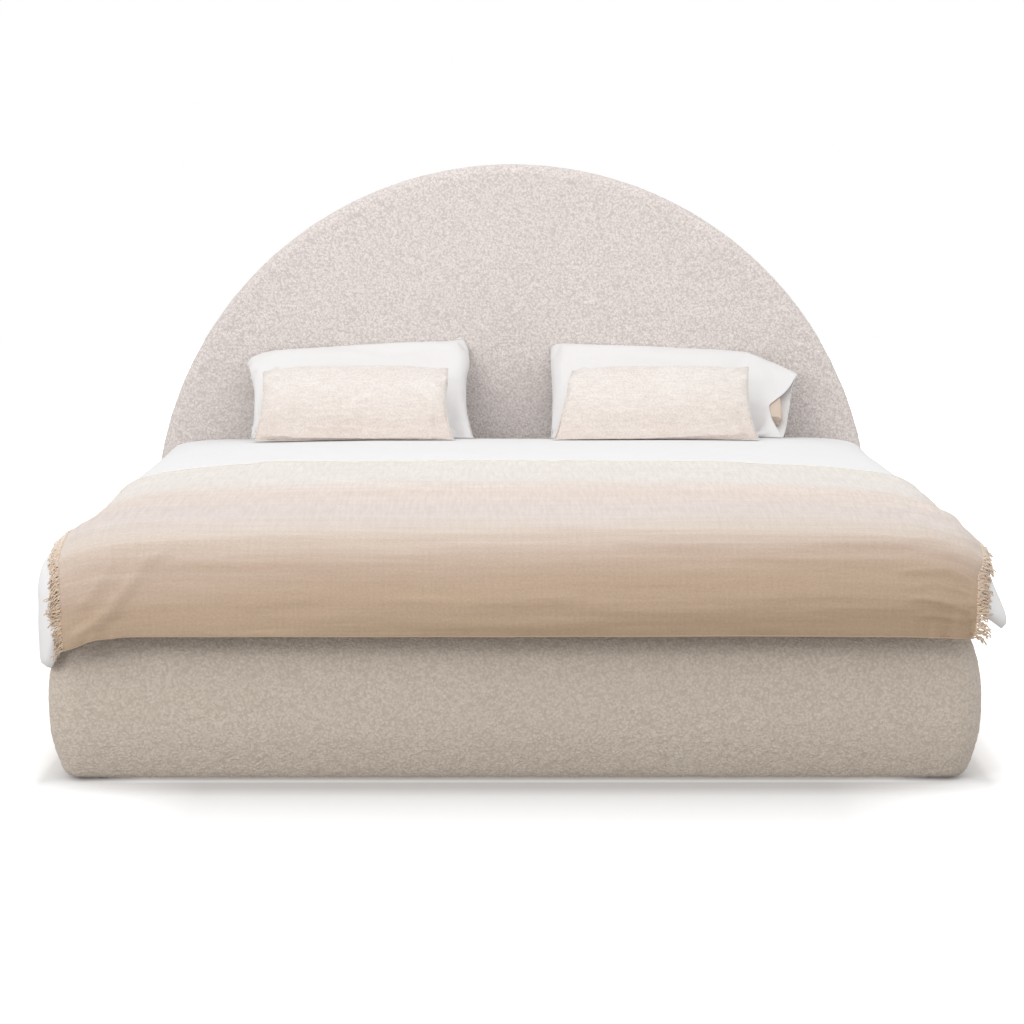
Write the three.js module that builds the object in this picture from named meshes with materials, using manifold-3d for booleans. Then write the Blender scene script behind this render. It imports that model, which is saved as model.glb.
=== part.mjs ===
// Upholstered king bed: a low barrel-sided base, a half-disc headboard, and its bedding.
// Millimetres, +Z up, X across the bed, -Y the foot, +Y the head.
// Origin: centre of the overall box, on the floor.
import * as THREE from 'three';
import { mergeVertices } from 'three/addons/utils/BufferGeometryUtils.js';
import Module from 'manifold-3d';

const wasm = await Module();
wasm.setup();

// ---------------------------------------------------------------- driving dimensions
const GAP = 0.3;                 // running gap between touching pieces

const BASE_HALF_W = 1050;        // half width of the base at its fullest
const BASE_LEN = 2170;           // fullest point of the foot to the headboard's face
const RAIL_T = 125;              // upholstered rail, fullest point to the board's inner face
const BOARD_T = 28;              // timber rail boards
const CORNER_R = 80;             // plan radius of the two foot corners
const COVER_T = 3;               // bouclé cover
const BOARD_Z0 = 9.3;            // bottom of the timber boards
const BOARD_Z1 = 345;            // top of the timber boards

const HEAD_R = 1050;             // headboard radius
const HEAD_CZ = 312;             // height of the centre of the half disc
const HEAD_T = 116;              // headboard thickness without its back panel
const HEAD_BACK_T = 3.7;         // back panel
const HEAD_EDGE = 30;            // radius of the rounded edge
const HEAD_FOAM_T = 40;          // foam on the face

const MATT_W = 1830, MATT_L = 2028, MATT_H = 280, MATT_Z = 270;
const SLAT_N = 12, SLAT_W = 100, SLAT_T = 20;
const SLAT_Z0 = 249.3;
const LEDGER_W = 30, LEDGER_H = 40;
const BEAM_W = 40, BEAM_H = 90;
const BOLT_R = 4, BOLT_HEAD_R = 7.5, BOLT_HEAD_H = 5;

const DUVET_HALF_W = 1100;       // widest point of the hanging sides
const THROW_FRONT = -85;         // furthest point of the throw in front of the base
const THROW_HEAD = 1050;         // edge of the throw on top of the bed
const PILLOW_W = 660, PILLOW_H = 440, PILLOW_T = 145, PILLOW_LEAN = 55;
const CUSHION_W = 580, CUSHION_H = 330, CUSHION_T = 112, CUSHION_LEAN = 50;

// Along the bed everything is set out from the fullest point of the foot.
const BACK = BASE_LEN + HEAD_T + GAP + HEAD_BACK_T;          // 2290
const Y0 = -(BACK - THROW_FRONT) / 2 - THROW_FRONT;          // row Y of the foot's fullest point
const at = (s) => Y0 + s;

// ---------------------------------------------------------------- helpers
const group = new THREE.Group();

function toManifold(geometry) {
  let g = geometry.clone();
  for (const name of Object.keys(g.attributes)) if (name !== 'position') g.deleteAttribute(name);
  g.clearGroups();
  g = mergeVertices(g, 1e-3);
  const idx = g.index.array;
  const tri = [];
  for (let i = 0; i < idx.length; i += 3) {
    const [a, b, c] = [idx[i], idx[i + 1], idx[i + 2]];
    if (a !== b && b !== c && a !== c) tri.push(a, b, c);
  }
  return new wasm.Manifold(new wasm.Mesh({
    numProp: 3,
    vertProperties: new Float32Array(g.attributes.position.array),
    triVerts: new Uint32Array(tri),
  }));
}

function toGeometry(solid) {
  const m = solid.getMesh();
  const g = new THREE.BufferGeometry();
  const np = m.numProp, n = m.vertProperties.length / np;
  const pos = new Float32Array(n * 3);
  for (let i = 0; i < n; i++) for (let k = 0; k < 3; k++) pos[3 * i + k] = m.vertProperties[np * i + k];
  g.setAttribute('position', new THREE.BufferAttribute(pos, 3));
  g.setIndex(new THREE.BufferAttribute(new Uint32Array(m.triVerts), 1));
  g.computeVertexNormals();
  return g;
}

const material = (color, roughness, metalness = 0) => new THREE.MeshStandardMaterial({ color, roughness, metalness });

function add(name, shape, mat) {
  const g = shape.getMesh ? toGeometry(shape) : shape;
  const mesh = new THREE.Mesh(g, mat.clone());
  mesh.name = name;
  group.add(mesh);
  return mesh;
}

// A box between two corners, as a geometry.
function boxGeo(x0, x1, s0, s1, z0, z1) {
  const g = new THREE.BoxGeometry(x1 - x0, s1 - s0, z1 - z0);
  g.translate((x0 + x1) / 2, at((s0 + s1) / 2), (z0 + z1) / 2);
  return g;
}
const box = (...a) => toManifold(boxGeo(...a));

// A closed solid lofted through contours with equal point counts. Each contour is a list of
// Vector3, anticlockwise seen from where the stack ends; the first and last are capped by
// three's own triangulation of their outline.
function loft(contours, flat) {
  const n = contours[0].length, pos = [], idx = [];
  for (const c of contours) for (const p of c) pos.push(p.x, p.y, p.z);
  for (let j = 0; j + 1 < contours.length; j++)
    for (let i = 0; i < n; i++) {
      const a = j * n + i, b = j * n + (i + 1) % n, c = a + n, d = b + n;
      idx.push(a, b, d, a, d, c);
    }
  const cap = (c) => THREE.ShapeUtils.triangulateShape(c.map(flat), []);
  for (const [a, b, c] of cap(contours[0])) idx.push(a, c, b);
  const off = (contours.length - 1) * n;
  for (const [a, b, c] of cap(contours[contours.length - 1])) idx.push(off + a, off + b, off + c);
  const g = new THREE.BufferGeometry();
  g.setAttribute('position', new THREE.Float32BufferAttribute(pos, 3));
  g.setIndex(idx);
  return g;
}

// Rounded rectangle in plan: half width wx, from s0 (foot) to s1 (head), foot corners rf, head corners rh.
function planContour(wx, s0, s1, rf, rh, z, steps = 6) {
  const pts = [];
  const arc = (cx, cs, r, a0) => {
    for (let k = 0; k <= steps; k++) {
      const a = (a0 + 90 * k / steps) * Math.PI / 180;
      pts.push(new THREE.Vector3(cx + r * Math.cos(a), at(cs + r * Math.sin(a)), z));
    }
  };
  arc(-wx + rf, s0 + rf, rf, 180);
  arc(wx - rf, s0 + rf, rf, 270);
  arc(wx - rh, s1 - rh, rh, 0);
  arc(-wx + rh, s1 - rh, rh, 90);
  return pts;
}
const stack = (levels) => toManifold(loft(levels.map((l) => planContour(...l)), (p) => new THREE.Vector2(p.x, p.y)));

// Extrusion of an (x, z) outline along Y from s0 to s1.
function extrudeXZ(points, s0, s1, holes = []) {
  const shape = new THREE.Shape(points.map(([x, z]) => new THREE.Vector2(x, z)));
  for (const h of holes) shape.holes.push(new THREE.Path(h.map(([x, z]) => new THREE.Vector2(x, z))));
  const g = new THREE.ExtrudeGeometry(shape, { depth: s1 - s0, bevelEnabled: false, steps: 1, curveSegments: 12 });
  g.rotateX(Math.PI / 2);                  // shape y -> +Z, depth -> -Y
  g.translate(0, at(s1), 0);
  return toManifold(g);
}

// A cylinder along X or Y.
function rod(axis, x, s, z, r, from, to, seg = 16) {
  const g = new THREE.CylinderGeometry(r, r, to - from, seg);
  if (axis === 'x') { g.rotateZ(Math.PI / 2); g.translate((from + to) / 2, at(s), z); }
  else { g.translate(x, at((from + to) / 2), z); }
  return toManifold(g);
}

// ---------------------------------------------------------------- materials
const boucle = material(0xd6c8bd, 0.95);
const foamMat = material(0xe9dfae, 0.9);
const timber = material(0xcaa878, 0.65);
const ply = material(0xd2b48a, 0.65);
const steel = material(0x2b2c2e, 0.45, 0.6);
const zinc = material(0xb9bcc0, 0.35, 0.9);
const plastic = material(0x2a2a2c, 0.6);
const backCloth = material(0x3d3a38, 0.9);
const ticking = material(0xf0eeea, 0.9);
const cotton = material(0xf4f3f1, 0.85);
const weave = material(0xcdb196, 0.9);
const linen = material(0xefe6dc, 0.9);

// ---------------------------------------------------------------- base
// Barrel profile of the base: [height, inset from the fullest point].
const PROFILE = [
  [6, 56], [9, 47], [14, 37.5], [27, 28.5], [45, 21], [75, 11.5], [109, 4], [140, 0.9], [175, 0],
  [210, 0.9], [240, 4], [267, 9], [297, 18], [320, 27.5], [336, 38], [348, 54], [355, 75], [357, 104],
];
// The same profile pulled in by d all round.
function insetProfile(d) {
  const p = PROFILE.map(([z, i]) => new THREE.Vector2(i, z));
  return p.map((q, k) => {
    const a = p[Math.max(0, k - 1)], b = p[Math.min(p.length - 1, k + 1)];
    const t = b.clone().sub(a).normalize();
    return [q.y + d * (-t.x), q.x + d * t.y];
  });
}

// Straight side rail pieces, drawn for the +X side in (x, z).
const W = BASE_HALF_W;
const xIn = W - RAIL_T;                    // 925, inner face of the side board
const SIDE_S0 = RAIL_T + GAP, SIDE_S1 = BASE_LEN - GAP;
function sideOutline(profile, zb, zt, xi) {
  return [[xi, zb], ...profile.map(([z, i]) => [W - i, z]), [xi, zt]];
}
const p0 = PROFILE, p1 = insetProfile(COVER_T), p2 = insetProfile(COVER_T + GAP);
const TURN = 300;                          // the cover turns down inside the rail to this height

const sideOuter = extrudeXZ(sideOutline(p0, 6, 357, xIn - COVER_T - GAP), SIDE_S0, SIDE_S1);
const sideInner = extrudeXZ(
  [[xIn - GAP, -20], [xIn - GAP, 9], ...p1.map(([z, i]) => [W - i, z]), [xIn - GAP, 354], [xIn - GAP, TURN - 10], [xIn - 20, TURN - 10], [xIn - 20, -20]],
  SIDE_S0 - 5, SIDE_S1 + 5);
// the strip inside the rail stays above TURN, the bottom flange stops under the board
let sideCover = sideOuter.subtract(sideInner)
  .subtract(box(xIn - 30, xIn - GAP, -100, BASE_LEN + 100, -10, TURN));
let sideFoam = extrudeXZ(sideOutline(p2, 9.3, 353.7, xIn + GAP), SIDE_S0, SIDE_S1)
  .subtract(box(xIn - 5, xIn + BOARD_T + GAP, -100, BASE_LEN + 100, 0, BOARD_Z1 + GAP));
let sideBoard = box(xIn, xIn + BOARD_T, SIDE_S0, SIDE_S1, BOARD_Z0, BOARD_Z1);

// Foot unit: the same profile taken round the two foot corners.
const footLevels = (profile) => profile.map(([z, i]) => [W - i, i, 400, CORNER_R - i, 5, z, 6]);
const footOuter = stack(footLevels(p0).concat([[W - 118, 118, 400, 5, 5, 357.2, 6]]).map((l) => (l[3] < 4 ? (l[3] = 4, l) : l)));
const footInner = stack(footLevels(p1).map((l) => (l[3] < 3 ? (l[3] = 3, l) : l)));
const footInner2 = stack(footLevels(p2).map((l) => (l[3] < 3 ? (l[3] = 3, l) : l)));
const behindFoot = box(-1200, 1200, RAIL_T, 500, -10, 400);
const footBoardX = 985;
let footCover = footOuter.subtract(footInner).subtract(behindFoot);
// inner turn-down strip between the two side rails
const footStrip = box(-(xIn - COVER_T - 2), xIn - COVER_T - 2, RAIL_T + GAP, RAIL_T + GAP + COVER_T, TURN, 357)
  .add(box(-(xIn - COVER_T - 2), xIn - COVER_T - 2, RAIL_T - 8, RAIL_T + GAP + COVER_T, 354, 357));
footCover = footCover.add(footStrip);
const footFoam = footInner2
  .subtract(box(-1200, 1200, RAIL_T, 500, -10, 400))
  .subtract(box(-footBoardX - GAP, footBoardX + GAP, RAIL_T - BOARD_T - GAP, RAIL_T + 20, 0, BOARD_Z1 + GAP))
  .subtract(box(-1200, 1200, RAIL_T - BOARD_T - GAP, RAIL_T + 20, BOARD_Z1 - 5, BOARD_Z1 + GAP));
let footBoard = box(-footBoardX, footBoardX, RAIL_T - BOARD_T, RAIL_T, BOARD_Z0, BOARD_Z1);

// Head rail between the side boards, against the headboard.
const HR_S0 = BASE_LEN - GAP - BOARD_T, HR_S1 = BASE_LEN - GAP, HR_Z1 = 248;
let headRail = box(-xIn + GAP, xIn - GAP, HR_S0, HR_S1, 12, HR_Z1);

// Corner brackets: folded steel angles, and the bolts that hold the side boards to them.
const BR_Z0 = 60, BR_Z1 = 200, BR_LEAF = 60, BR_T = 4, BR_BOLT_Z = 130;
function bracket(side, end) {
  const x0 = xIn - GAP, s = end === 'foot' ? RAIL_T + 0.6 : HR_S0 - 0.6, d = end === 'foot' ? 1 : -1;
  const shape = new THREE.Shape([[0, 0], [BR_LEAF, 0], [BR_LEAF, BR_T], [BR_T, BR_T], [BR_T, BR_LEAF], [0, BR_LEAF]].map(([a, b]) => new THREE.Vector2(a, b)));
  const g = new THREE.ExtrudeGeometry(shape, { depth: BR_Z1 - BR_Z0, bevelEnabled: false });
  // corner of the angle at (x0, s), leaves running to -x and along the bed
  g.scale(-1, d, 1);
  if (d > 0) flip(g);
  g.translate(x0, at(s), BR_Z0);
  if (side < 0) { g.scale(-1, 1, 1); flip(g); }
  return toManifold(g);
}
function flip(g) {
  const src = g.index ? g.index.array : null;
  if (src) { for (let i = 0; i < src.length; i += 3) { const t = src[i]; src[i] = src[i + 1]; src[i + 1] = t; } return; }
  const p = g.attributes.position.array;
  for (let i = 0; i < p.length; i += 9) for (let k = 0; k < 3; k++) { const t = p[i + k]; p[i + k] = p[i + 3 + k]; p[i + 3 + k] = t; }
}
// A bolt: round domed head and shank, made by turning its half section.
function boltGeo(length) {
  const pts = [[0, 0], [3, 0], [BOLT_HEAD_R - 1.6, 0.8], [BOLT_HEAD_R, 2.4], [BOLT_HEAD_R, BOLT_HEAD_H], [BOLT_R, BOLT_HEAD_H], [BOLT_R, BOLT_HEAD_H + length - 1], [BOLT_R - 1, BOLT_HEAD_H + length], [0, BOLT_HEAD_H + length]];
  return new THREE.LatheGeometry(pts.map(([r, y]) => new THREE.Vector2(r, y)), 14);   // along +Y
}
const bolts = [];
for (const [end, s] of [['foot', RAIL_T + 40], ['head', HR_S0 - 40]])
  for (const side of [-1, 1]) {
    const g = boltGeo(24);
    g.rotateZ(-side * Math.PI / 2);        // +Y -> +X on the +X side
    const headX = xIn - GAP - BR_T - GAP - BOLT_HEAD_H;
    g.translate(side * headX, at(s), BR_BOLT_Z);
    bolts.push([`corner_bolt_${end}_${side < 0 ? 'left' : 'right'}`, g]);
  }

const sides = { left: -1, right: 1 };
for (const [name, side] of Object.entries(sides)) {
  const place = (m) => (side > 0 ? m : m.mirror([1, 0, 0]));
  let board = place(sideBoard);
  for (const s of [RAIL_T + 40, HR_S0 - 40])
    board = board.subtract(rod('x', 0, s, BR_BOLT_Z, BOLT_R + 0.3, side > 0 ? xIn - 5 : -xIn - 21, side > 0 ? xIn + 21 : -xIn + 5));
  add(`side_board_${name}`, board, timber);
  add(`side_foam_${name}`, place(sideFoam), foamMat);
  add(`side_cover_${name}`, place(sideCover), boucle);
  // ledger the slats lie on
  const x1 = xIn - GAP, x0 = x1 - LEDGER_W;
  add(`slat_ledger_${name}`, boxGeo(side > 0 ? x0 : -x1, side > 0 ? x1 : -x0, RAIL_T + 8, HR_S0 - 8, SLAT_Z0 - GAP - LEDGER_H, SLAT_Z0 - GAP), timber);
  for (const end of ['foot', 'head']) {
    const s = end === 'foot' ? RAIL_T + 40 : HR_S0 - 40;
    let b = bracket(side, end);
    b = b.subtract(rod('x', 0, s, BR_BOLT_Z, BOLT_R + 0.4, side > 0 ? xIn - 20 : -xIn - 5, side > 0 ? xIn + 5 : -xIn + 20));
    add(`corner_bracket_${end}_${name}`, b, steel);
  }
}
for (const [name, g] of bolts) add(name, toManifold(g), zinc);
add('foot_board', footBoard, timber);
add('foot_foam', footFoam, foamMat);
add('foot_cover', footCover, boucle);

// Slats
const slatS0 = RAIL_T + 32, slatS1 = HR_S0 - 18;
for (let i = 0; i < SLAT_N; i++) {
  const c = slatS0 + SLAT_W / 2 + (slatS1 - slatS0 - SLAT_W) * i / (SLAT_N - 1);
  const hw = SLAT_W / 2, r = 4;
  const shape = new THREE.Shape([[-hw + r, 0], [hw - r, 0], [hw, r], [hw, SLAT_T - r], [hw - r, SLAT_T], [-hw + r, SLAT_T], [-hw, SLAT_T - r], [-hw, r]].map(([a, b]) => new THREE.Vector2(a, b)));
  const g = new THREE.ExtrudeGeometry(shape, { depth: 2 * (xIn - 2), bevelEnabled: false });
  g.rotateX(Math.PI / 2); g.rotateZ(Math.PI / 2);       // section in (Y, Z), length along X
  g.computeBoundingBox();
  const b = g.boundingBox;
  g.translate(-(b.min.x + b.max.x) / 2, at(c) - (b.min.y + b.max.y) / 2, SLAT_Z0 - b.min.z);
  add(`slat_${String(i + 1).padStart(2, '0')}`, toManifold(g), timber);
}

// Centre beam on two hangers and two legs
const BEAM_Z1 = SLAT_Z0 - GAP, BEAM_Z0 = BEAM_Z1 - BEAM_H;
const HG_T = 3, HG_D = 45;
add('centre_beam', boxGeo(-BEAM_W / 2, BEAM_W / 2, RAIL_T + 6, HR_S0 - 6, BEAM_Z0, BEAM_Z1), timber);
for (const end of ['foot', 'head']) {
  const sA = end === 'foot' ? RAIL_T + GAP : HR_S0 - GAP, d = end === 'foot' ? 1 : -1;
  const span = (a, b) => (d > 0 ? [sA + a, sA + b] : [sA - b, sA - a]);
  const hi = BEAM_W / 2 + GAP;
  const [q0, q1] = span(0, HG_T), [t0, t1] = span(HG_T - 1, HG_D);
  const zb = BEAM_Z0 - GAP - HG_T;
  const plate = box(-45, 45, q0, q1, zb, BEAM_Z1 - 4);
  const cup = box(-hi - HG_T, hi + HG_T, t0, t1, zb, BEAM_Z1 - 20).subtract(box(-hi, hi, Math.min(t0, t1) - 5 + (d > 0 ? 6 : 0), Math.max(t0, t1) + 5 - (d > 0 ? 0 : 6), zb + HG_T, BEAM_Z1 + 5));
  add(`beam_hanger_${end}`, plate.add(cup), steel);
}
[790, 1480].forEach((s, i) => {
  const r = 22.5;
  const lv = [[r - 3, s - r + 3, s + r - 3, 2, 2, 0, 2], [r, s - r, s + r, 2, 2, 4, 2], [r, s - r, s + r, 2, 2, BEAM_Z0 - GAP, 2]];
  add(`centre_leg_${i + 1}`, stack(lv), timber);
});

// Glides under the foot corners and under the headboard
function glide(x, s) {
  const pts = [[0, 0], [17, 0], [20, 2], [20, 5.7], [0, 5.7]].map(([r, y]) => new THREE.Vector2(r, y));
  const g = new THREE.LatheGeometry(pts, 18);
  g.rotateX(Math.PI / 2);
  g.translate(x, at(s), 0);
  return toManifold(g);
}
add('glide_foot_left', glide(-930, 96), plastic);
add('glide_foot_right', glide(930, 96), plastic);
add('glide_head_left', glide(-990, BASE_LEN + 70), plastic);
add('glide_head_right', glide(990, BASE_LEN + 70), plastic);

// ---------------------------------------------------------------- headboard
// Half disc on a straight foot, pulled in by d, from height zb.
function archShape(d, zb, seg = 40) {
  const r = HEAD_R - d, pts = [[-r, zb], [r, zb]];
  for (let k = 0; k <= seg; k++) {
    const a = Math.PI * k / seg;
    pts.push([r * Math.cos(a), HEAD_CZ + r * Math.sin(a)]);
  }
  return pts;
}
function archSolid(d, zb, s0, s1) { return extrudeXZ(archShape(d, zb), s0, s1); }
// Rounded version: contours pulled in towards both faces.
function archRounded(d, zb, s0, s1, edge) {
  const n = 4, rings = [];
  const ring = (inset, s) => archShape(d + inset, zb + inset * 0.6).map(([x, z]) => new THREE.Vector3(x, at(s), z));
  for (let k = 0; k <= n; k++) { const a = Math.PI / 2 * k / n; rings.push(ring(edge * (1 - Math.sin(a)), s0 + edge * (1 - Math.cos(a)))); }
  for (let k = n; k >= 0; k--) { const a = Math.PI / 2 * k / n; rings.push(ring(edge * (1 - Math.sin(a)), s1 - edge * (1 - Math.cos(a)))); }
  // rings run towards +Y, outline anticlockwise seen from -Y, so the order is reversed for outward faces
  return toManifold(loft(rings.reverse(), (p) => new THREE.Vector2(p.x, p.z)));
}
const HS0 = BASE_LEN, HS1 = BASE_LEN + HEAD_T;
const LOW_X = 940, LOW_Z = 300;                       // timber lower rail, set flush in the face
const fs = HS0 + COVER_T + HEAD_FOAM_T;               // back of the foam, about 2213
const headOuter = archRounded(0, 6, HS0, HS1, HEAD_EDGE);
const headInner = archRounded(COVER_T, 6 + COVER_T, HS0 + COVER_T, HS1 - COVER_T, HEAD_EDGE - COVER_T);
const headInner2 = archRounded(COVER_T + GAP, 6 + COVER_T + GAP, HS0 + COVER_T + GAP, HS1 - COVER_T - GAP, HEAD_EDGE - COVER_T - GAP);
const backOpen = archSolid(75, 70, HS1 - 20, HS1 + 20);
let headCover = headOuter.subtract(headInner).subtract(backOpen)
  .subtract(box(-LOW_X - 3, LOW_X + 3, HS0 - 5, HS0 + 20, -5, LOW_Z + 3));
add('headboard_cover', headCover, boucle);
const CORE_D = 18;                                    // frame set in from the outer edge
let headFoam = headInner2
  .subtract(archSolid(CORE_D - GAP, -50, fs, HS1 + 50))
  .subtract(box(-LOW_X - GAP, LOW_X + GAP, HS0 - 5, fs + 5, -5, LOW_Z + GAP));
add('headboard_foam', headFoam, foamMat);
const PANEL_T = 9;
add('headboard_face_panel', archSolid(CORE_D, 12, fs + GAP, fs + GAP + PANEL_T), ply);
const ribS0 = fs + 2 * GAP + PANEL_T, ribS1 = HS1 - COVER_T - 2 * GAP;
const RIB_W = 60;
const ribOut = archSolid(CORE_D, 12, ribS0, ribS1);
const ribIn = archSolid(CORE_D + RIB_W, -50, ribS0 - 5, ribS1 + 5);
// everything in the frame stays inside the cover's rounded back edge
const frameSpace = archRounded(COVER_T + 2 * GAP, 6 + COVER_T + 2 * GAP, HS0 + COVER_T + 2 * GAP, HS1 - COVER_T - 2 * GAP, HEAD_EDGE - COVER_T - 2 * GAP);
add('headboard_arch_rib', ribOut.subtract(ribIn).intersect(frameSpace), ply);
for (const [name, side] of Object.entries(sides)) {
  const x0 = side * 400 - 22.5, x1 = side * 400 + 22.5;
  const r = HEAD_R - CORE_D - RIB_W - 2;
  const top = HEAD_CZ + Math.sqrt(r * r - 423 * 423);
  add(`headboard_stud_${name}`, box(x0, x1, ribS0, ribS1, 12, top).intersect(frameSpace), timber);
}
// Lower rail with blind holes for the four headboard bolts
const HB = [[-700, 70], [-700, 190], [700, 70], [700, 190]];
let lowRail = box(-LOW_X, LOW_X, HS0 + GAP, fs, 12, LOW_Z);
HB.forEach(([x, z], i) => {
  lowRail = lowRail.subtract(rod('y', x, 0, z, BOLT_R + 0.3, HS0 - 5, HS0 + 34));
  headRail = headRail.subtract(rod('y', x, 0, z, BOLT_R + 0.4, HR_S0 - 5, HR_S1 + 5));
  const g = boltGeo(60);
  g.translate(x, at(HR_S0 - GAP - BOLT_HEAD_H), z);
  add(`headboard_bolt_${i + 1}`, toManifold(g), zinc);
});
add('headboard_lower_rail', lowRail, timber);
add('head_rail', headRail, timber);
add('headboard_back_panel', archSolid(14, 14, HS1 + GAP, HS1 + GAP + HEAD_BACK_T), backCloth);

// ---------------------------------------------------------------- bedding
const ms0 = 135, mx = MATT_W / 2, mz = MATT_Z;
const mat = [[mx - 14, ms0 + 14, ms0 + MATT_L - 14, 60, 60, mz], [mx - 4, ms0 + 4, ms0 + MATT_L - 4, 66, 66, mz + 6], [mx, ms0, ms0 + MATT_L, 70, 70, mz + 18],
  [mx, ms0, ms0 + MATT_L, 70, 70, mz + MATT_H - 18], [mx - 4, ms0 + 4, ms0 + MATT_L - 4, 66, 66, mz + MATT_H - 6], [mx - 14, ms0 + 14, ms0 + MATT_L - 14, 60, 60, mz + MATT_H]];
add('mattress', stack(mat), ticking);

// Duvet: [half width, foot, head, foot radius, head radius, height] from the hem up.
const DV = [
  [1086, -64, 2163, 110, 4, 250], [DUVET_HALF_W, -80, 2163, 120, 4, 290], [1094, -80, 2163, 126, 4, 350], [1084, -74, 2163, 132, 4, 400],
  [1070, -58, 2163, 140, 4, 450], [1056, -36, 2163, 150, 6, 490], [1040, -8, 2160, 165, 20, 520], [1016, 28, 2150, 190, 60, 545],
  [975, 84, 2080, 220, 120, 566], [900, 180, 1880, 260, 170, 581], [800, 320, 1740, 300, 220, 591], [640, 520, 1640, 320, 260, 600], [380, 820, 1540, 300, 260, 607], [160, 1000, 1440, 120, 120, 610],
];
const grow = (levels, d) => levels.map(([w, a, b, rf, rh, z]) => [w + d, a - d, b, rf + d, rh, z + d, 6]);
const duvetOut = stack(grow(DV, 0));
const DI = [
  [1058, -46, 2600, 90, 4, 200, 6], [1060, -48, 2600, 90, 4, 290, 6], [1052, -44, 2600, 95, 4, 338, 6], [1046, 6, 2600, 100, 4, 346, 6],
  [1040, 36, 2600, 100, 4, 352, 6], [1036, 60, 2600, 100, 4, 357.6, 6], [1032, 96, 2600, 100, 4, 361, 6], [1032, 121, 2600, 100, 4, 366, 6],
  [1032, 124, 2600, 100, 4, 400, 6], [1002, 124, 2600, 105, 4, 450, 6], [968, 124, 2600, 105, 4, 500, 6], [940, 124, 2600, 100, 4, 535, 6], [922, 126, 2600, 90, 4, 551.5, 6],
];
const duvet = duvetOut.subtract(stack(DI)).subtract(box(-1300, 1300, -300, 260, 100, 345));
add('duvet', duvet, cotton);

// Throw: a woven cloth lying on the duvet, over the shoulders and down the foot.
const throwSolid = stack(grow(DV, 5)).subtract(stack(grow(DV, 1)))
  .subtract(box(-1300, 1300, THROW_HEAD, 3000, 0, 800))
  .subtract(box(-1300, 1300, -300, 3000, 0, 338))
  .subtract(box(-1300, 1300, 60, 3000, 0, 430))
  .subtract(box(-1300, -1040, -300, 3000, 0, 430))
  .subtract(box(1040, 1300, -300, 3000, 0, 430));
add('throw', throwSolid, weave);

// A crowned cushion: a sphere drawn out to a rounded rectangle, thick in the middle and thin at the edge.
function cushionGeo(w, h, t, nu = 24, nv = 12) {
  const g = new THREE.SphereGeometry(1, nu, nv);
  g.rotateX(Math.PI / 2);                       // poles on Z (thickness)
  const p = g.attributes.position, v = new THREE.Vector3();
  for (let i = 0; i < p.count; i++) {
    v.fromBufferAttribute(p, i);
    const rr = Math.hypot(v.x, v.y);
    if (rr < 1e-6) { p.setXYZ(i, 0, 0, Math.sign(v.z) * t / 2); continue; }
    const cx = v.x / rr, cy = v.y / rr;
    const k = 1 / Math.pow(Math.pow(Math.abs(cx), 6) + Math.pow(Math.abs(cy), 6), 1 / 6);
    const q = 2 / Math.PI * Math.asin(Math.min(1, rr));       // 0 centre .. 1 edge, evenly spaced
    const x = w / 2 * k * cx * q, y = h / 2 * k * cy * q;
    const a = Math.abs(2 * x / w), b = Math.abs(2 * y / h);
    const crown = Math.pow(Math.max(0, (1 - Math.pow(a, 3)) * (1 - Math.pow(b, 2.4))), 0.62);
    const edge = q > 0.999 ? 0 : 1;
    p.setXYZ(i, x, y, edge * Math.sign(v.z) * Math.max(4, t / 2 * crown));
  }
  const m = mergeVertices((() => { const c = g.clone(); c.deleteAttribute('normal'); c.deleteAttribute('uv'); return c; })(), 1e-3);
  return m;
}
// Lean it: the cushion's height runs up and back, leaning by `lean` degrees from upright, turned by `turn` about Z.
function leaned(geo, lean, turn, x, s, z) {
  geo.rotateX((90 - lean) * Math.PI / 180);
  geo.rotateZ(turn * Math.PI / 180);
  geo.translate(x, at(s), z);
  return toManifold(geo);
}
const P_S = 1982, P_Z = 722;
add('pillow_left', leaned(cushionGeo(PILLOW_W, PILLOW_H, PILLOW_T), PILLOW_LEAN, 0, -440, P_S, P_Z), cotton);
// The right-hand pillow's case runs on past the pillow as an open end.
const pr = toManifold(cushionGeo(PILLOW_W + 10, PILLOW_H, PILLOW_T)).add(toManifold((() => { const g = new THREE.BoxGeometry(90, PILLOW_H - 60, 14); g.translate(PILLOW_W / 2 + 20, 6, 0); return g; })()));
const prGeo = toGeometry(pr);
add('pillow_right', leaned(prGeo, PILLOW_LEAN, 0, 445, P_S, P_Z), cotton);
const C_S = 1754, C_Z = 714;
add('cushion_left', leaned(cushionGeo(CUSHION_W, CUSHION_H, CUSHION_T), CUSHION_LEAN, 0, -450, C_S, C_Z), linen);
add('cushion_right', leaned(cushionGeo(CUSHION_W, CUSHION_H, CUSHION_T), CUSHION_LEAN, 0, 415, C_S, C_Z), linen);

export default group;
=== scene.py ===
import math
import bpy
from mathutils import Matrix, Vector
from mathutils.bvhtree import BVHTree
import numpy as np


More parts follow.
